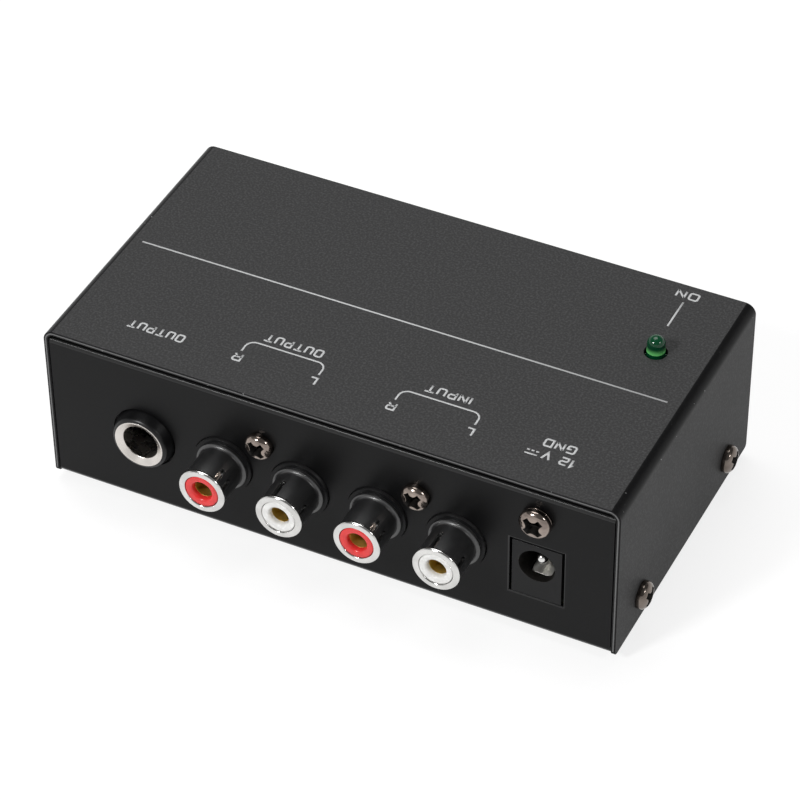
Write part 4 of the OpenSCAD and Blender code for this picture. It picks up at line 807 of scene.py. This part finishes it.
# -------- chips
# Two eight-legged amplifiers: matt black bodies with drafted sides, tinned legs, and a pale
# printed dot beside the first leg.
chip_black = moulded("chip_black", (0.012, 0.012, 0.013), 0.6, depth=0.01, density=2500.0)
chip_ink = moulded("chip_ink", (0.35, 0.35, 0.34), 0.6)
chip_low, chip_high = corners_of("op_amps")
chip_y, chip_half, chip_long = (chip_low.y + chip_high.y) / 2, 3.2, 9.8
dot_low, dot_high, dot_in, dot_aside = chip_high.z - 0.01, chip_high.z + 0.02, 1.1, 2.1
chips = softened(["op_amps"], 0.06)
recoloured(chips, 1, lambda middle, way: abs(middle.y - chip_y) > chip_half
           or middle.z < board_top + 0.45)
for left in (chip_low.x, chip_high.x - chip_long):
    added = turned(chips, [(0, dot_low), (0.45, dot_low), (0.4, dot_high), (0, dot_high)],
                   steps=24, material=2)
    bmesh.ops.translate(chips, vec=(left + dot_in, chip_y - dot_aside, 0), verts=added)
make_piece("amplifier_chips", chips, [chip_black, bright_tin, chip_ink],
           ["op_amps"])

# -------- capacitors
# Electrolytic cans in printed sleeves, with a pale stripe at the minus lead and a bare top, and
# ochre film capacitors in moulded boxes. What is below the board's top is a tinned lead.
sleeve_blue = moulded("sleeve_blue", (0.012, 0.018, 0.09), 0.3, 0.002)
stripe_grey = moulded("stripe_grey", (0.55, 0.56, 0.58), 0.35, 0.002)
can_metal = plated("can_metal", (0.78, 0.78, 0.78), (0.68, 0.68, 0.68), 0.3)
film_ochre = moulded("film_ochre", (0.48, 0.22, 0.03), 0.35, 0.01)
lead_top = board_top - 0.01
for node, name in (("coupling_capacitors", "coupling_cans"), ("filter_capacitors", "filter_cans")):
    cans = softened([node], 0)
    can_top = corners_of(node)[1].z
    recoloured(cans, 1, lambda middle, way: way.x < -0.88 and middle.z > board_top)
    tops = [face for face in cans.faces if face.calc_center_median().z > can_top - 0.01]
    bmesh.ops.inset_individual(cans, faces=tops, thickness=0.5, depth=-0.08)
    for face in tops:
        face.material_index = 2
    recoloured(cans, 3, lambda middle, way: middle.z < lead_top)
    make_piece(name, cans, [sleeve_blue, stripe_grey, can_metal, bright_tin], [node])
films = softened(["film_capacitors"], 0.25, 3)
recoloured(films, 1, lambda middle, way: middle.z < lead_top)
make_piece("film_boxes", films, [film_ochre, bright_tin], ["film_capacitors"])

# -------- resistors
# Lacquered bodies with swollen ends and five colour bands, on leads bent down into the board.
lacquer = moulded("resistor_lacquer", (0.30, 0.46, 0.56), 0.35)
band_colours = {"band_brown": (0.10, 0.03, 0.01), "band_black": (0.01, 0.01, 0.01),
                "band_orange": (0.75, 0.18, 0.02), "band_violet": (0.14, 0.04, 0.30)}
bands = [moulded(name, colour, 0.35) for name, colour in band_colours.items()]
resistor_low, resistor_high = corners_of("resistors")
resistor_pitch, lead_r, body_half, band_half = 10.16, 0.3, 3.2, 0.27
column_first = resistor_low.x + lead_r + resistor_pitch / 2
column_last = resistor_high.x - lead_r - resistor_pitch / 2
columns = [column_first + (column_last - column_first) * step / 3 for step in range(4)]
band_at = ((-2.45, 2), (-1.25, 3), (-0.45, 4), (0.35, 3), (2.45, 2))


def scored(shape, axis, at):
    """Cuts an edge round a shape's surface, square to an axis."""
    bmesh.ops.bisect_plane(shape, geom=shape.verts[:] + shape.edges[:] + shape.faces[:],
                           plane_no=axis, plane_co=Vector(axis) * at, dist=1e-5)


def off_lead(middle):
    """Whether a point lies on a resistor's body and not on its leads."""
    along = min(abs(middle.x - column) for column in columns)
    return along < body_half and middle.z > lead_top


resistors = softened(["resistors"], 0)
for column in columns:
    for offset, material in band_at:
        for side in (-band_half, band_half):
            scored(resistors, (1, 0, 0), column + offset + side)
recoloured(resistors, 1, lambda middle, way: not off_lead(middle))
for column in columns:
    for offset, material in band_at:
        recoloured(resistors, material, lambda middle, way: off_lead(middle)
                   and abs(middle.x - column - offset) < band_half - 0.01)
make_piece("banded_resistors", resistors, [lacquer, bright_tin, *bands],
           ["resistors"])

# -------- regulator and diode
# A flat-sided three-legged regulator, and the diode that guards the supply, with a grey ring at
# its cathode.
leg_height, diode_half, ring_start, ring_end = 2.95, 2.35, 1.2, 1.9
regulator = softened(["voltage_regulator"], 0.12)
recoloured(regulator, 1, lambda middle, way: middle.z < board_top + leg_height)
make_piece("regulator", regulator, [chip_black, bright_tin], ["voltage_regulator"])
diode_y = middle_of("input_diode").y
diode = softened(["input_diode"], 0.12)
for along in (ring_start, ring_end):
    scored(diode, (0, 1, 0), diode_y + along)
recoloured(diode, 1, lambda middle, way: abs(middle.y - diode_y) > diode_half
           or middle.z < lead_top)
recoloured(diode, 2, lambda middle, way: middle.z > board_top
           and ring_start + 0.01 < middle.y - diode_y < ring_end - 0.01)
make_piece("ringed_diode", diode, [chip_black, bright_tin, stripe_grey],
           ["input_diode"])

# -------- cover
# Steel sheet folded over the chassis, its cut edges nearly round under a fine black powder
# coat. Four screws hold it at the sides.
powder_coat = painted("powder_coat", (0.041, 0.041, 0.0415), (0.088, 0.088, 0.089),
                      gloss=0.54, depth=0.009, specular=0.08, density=2600.0, amount=0.6)
# The coat on the rounded bends is painted far darker than on the flats: painted shade. Its few
# bright chips are wear.
bend_coat_painted_dark = painted("powder_coat_painted_dark_on_bends", (0.004, 0.004, 0.0043), (0.009, 0.009, 0.0095),
                    gloss=0.34, depth=0.004, specular=0.12, density=2600.0, wear=1.0)
# A lighter, shinier copy for the flat of the cut edges: a painted highlight
edge_coat_painted_light = painted("powder_coat_painted_light_on_edges", (0.075, 0.075, 0.076), (0.085, 0.085, 0.086),
                    gloss=0.28, depth=0.002, specular=0.9, density=2600.0)
hole_reach, edge_strip = 2.5, 0.18


def beside_lamp(place):
    """Whether a point is on the rim of the lamp's hole."""
    off_lamp = math.hypot(place.x - lens_middle.x, place.y - lens_middle.y)
    return place.z > cover_top - 1 and off_lamp < hole_reach


cover = softened(["top_cover"], 0.34, 4, fine=beside_lamp)
# Rounded bends take the darker coat: painted shade
recoloured(cover, 1, lambda middle, way: max(abs(way.x), abs(way.z)) < flat)

# The flat middle of the sheet's cut edge, between its rounded corners, is painted lighter and
# shinier: a painted highlight along the front and back edges, though not on the left wall
cut_faces = [face for face in cover.faces if abs(face.normal.y) > flat
             and min(abs(face.calc_center_median().y - y)
                     for y in (cover_low.y, cover_high.y)) < 0.02]
bmesh.ops.inset_region(cover, faces=cut_faces, thickness=edge_strip, use_even_offset=True)
for face in cut_faces:
    if face.calc_center_median().x > cover_low.x + 1:
        face.material_index = 2
make_piece("folded_cover", cover, [powder_coat, bend_coat_painted_dark, edge_coat_painted_light],
           ["top_cover"])

wall_low, wall_high = corners_of("cover_screws")
# The wall screws take a darker copy of the screw steel: painted shade that dims their reflection
# of the pale floor
wall_steel_painted_dark = plated("wall_screw_steel_painted_dark", (0.20, 0.17, 0.15), (0.12, 0.10, 0.085), 0.16)
screw_piece("wall_screws", "cover_screws", pan_screw(head_r, head_h, screw_r, length=3.4),
            [Matrix.Translation((side * cover_high.x, y, wall_low.z + head_r))
             @ Matrix.Rotation(side * math.pi / 2, 4, "Y")
             for side in (-1, 1) for y in (wall_low.y + head_r, wall_high.y - head_r)],
            wall_steel_painted_dark)

# -------- printed marks
# Plain marks screen-printed in pale grey ink beside each socket and the lamp. They read from
# behind the case, so that they face whoever reaches over it to plug in.
ink = moulded("pale_ink", (0.55, 0.555, 0.56), 0.6, depth=0.004, density=3000.0,
              Specular_IOR_Level=0.3)
ink_depth, letter_line, thin_line = 0.03, 0.36, 0.32
round_corner, letter_gap, space_width = 0.34, 0.5, 0.3

# Strokes of a letter in a box one high, as points; a third value of 1 rounds that corner
letters = {
    "O": [[(0, 0, 1), (0.95, 0, 1), (0.95, 1, 1), (0, 1, 1), "closed"]],
    "U": [[(0, 1), (0, 0, 1), (0.9, 0, 1), (0.9, 1)]],
    "T": [[(-0.1, 1), (1.05, 1)], [(0.48, 1), (0.48, 0)]],
    "P": [[(0, 0), (0, 1), (0.85, 1, 1), (0.85, 0.38, 1), (0, 0.38)]],
    "I": [[(0, 0), (0, 1)]],
    "N": [[(0, 0), (0, 1)], [(0, 1), (0.9, 0)], [(0.9, 0), (0.9, 1)]],
    "L": [[(0, 1), (0, 0), (0.7, 0)]],
    "R": [[(0, 0), (0, 1), (0.85, 1, 1), (0.85, 0.42, 1), (0, 0.42)], [(0.5, 0.42), (0.85, 0)]],
    "G": [[(0.95, 1), (0, 1, 1), (0, 0, 1), (0.95, 0, 1), (0.95, 0.48), (0.5, 0.48)]],
    "D": [[(0, 0), (0, 1), (0.95, 1, 1), (0.95, 0, 1), "closed"]],
    "1": [[(0, 0.72), (0.3, 1), (0.3, 0)]],
    "2": [[(0, 1), (0.85, 1, 1), (0.85, 0.5, 1), (0, 0.5, 1), (0, 0), (0.85, 0)]],
    "V": [[(0, 1), (0.45, 0), (0.9, 1)]],
    " ": [],
}


def draw_line(shape, points, bend=0, closed=False):
    """Upright ribbon along a line of points on the cover, with its marked corners rounded."""
    base = cover_top - ink_depth / 3
    verts = [shape.verts.new((x, y, base)) for x, y, *mark in points]
    pairs = list(zip(verts, verts[1:])) + ([(verts[-1], verts[0])] if closed else [])
    before = set(shape.verts) - set(verts)
    for pair in pairs:
        shape.edges.new(pair)
    soft = [vert for vert, point in zip(verts, points) if len(point) == 3]
    if soft:
        bmesh.ops.bevel(shape, geom=soft, offset=bend, offset_type="OFFSET", segments=5,
                        profile=0.5, affect="VERTICES", clamp_overlap=True, material=-1)
    run = {edge for vert in shape.verts if vert not in before for edge in vert.link_edges}
    raised = bmesh.ops.extrude_edge_only(shape, edges=list(run))["geom"]
    bmesh.ops.translate(shape, vec=(0, 0, ink_depth),
                        verts=[item for item in raised if isinstance(item, bmesh.types.BMVert)])
    bmesh.ops.recalc_face_normals(
        shape, faces=[item for item in raised if isinstance(item, bmesh.types.BMFace)])


def write(shape, text, middle, height, width):
    """Word centred on a place, with its letters spread over a width."""
    sizes = [max((point[0] for stroke in letters[letter] for point in stroke if point != "closed"),
                 default=space_width) for letter in text]
    tall = height - letter_line
    spread = (width - letter_line) / (sum(sizes) + letter_gap * (len(text) - 1))
    left = middle[0] + (width - letter_line) / 2
    foot = middle[1] + tall / 2
    for letter, size in zip(text, sizes):
        for stroke in letters[letter]:
            closed = stroke[-1] == "closed"
            points = [(left - u * spread, foot - v * tall, *mark)
                      for u, v, *mark in (stroke[:-1] if closed else stroke)]
            draw_line(shape, points, round_corner, closed)
        left -= (size + letter_gap) * spread


def print_marks(name, shape, line):
    """Gives ribbons an even line width and makes them a piece."""
    made = make_piece(name, shape, [ink])
    made.modifiers.clear()
    wide = made.modifiers.new("line_width", "SOLIDIFY")
    wide.thickness, wide.offset, wide.use_even_offset = line * MM, 0, True


words = bmesh.new()
for text, middle, height, width in (
        ("OUTPUT", (-34.7, -16.5), 2.0, 10.5), ("OUTPUT", (-12.5, -10.1), 2.0, 10.7),
        ("INPUT", (15.5, -10.15), 1.95, 8.2), ("L", (-5.8, -16.6), 2.0, 1.5),
        ("R", (-19.55, -16.6), 2.0, 1.7), ("L", (22.35, -16.9), 2.0, 1.5),
        ("R", (8.45, -16.75), 2.0, 1.7), ("12 V", (37.85, -16.9), 2.0, 5.7),
        ("GND", (36.85, -13.95), 2.0, 5.6), ("ON", (40.55, 29.6), 2.0, 4.1)):
    write(words, text, middle, height, width)
print_marks("printed_words", words, letter_line)

# A bracket that joins the letters of each phono pair, a rule across the top, a line from the
# lamp to its word, and the direct-current sign: a bar over three dashes
brackets = ((-5.55, -19.7, -14.9, -12.05), (22.45, 8.3, -15.05, -12.25))
bars = [(-48.3, 3.2, 47.95, 3.2), (40.55, 27.6, 40.55, 20.85), (34.4, -17.5, 32.2, -17.5)]
bars += [(x, -16.65, x - 0.5, -16.65) for x in (34.4, 33.6, 32.8)]
lines = bmesh.new()
for left, right, front, back in brackets:
    draw_line(lines, [(left, front), (left, back, 1), (right, back, 1), (right, front)],
              bend=1.5)
for x, y, end_x, end_y in bars:
    draw_line(lines, [(x, y), (end_x, end_y)])
print_marks("printed_lines", lines, thin_line)
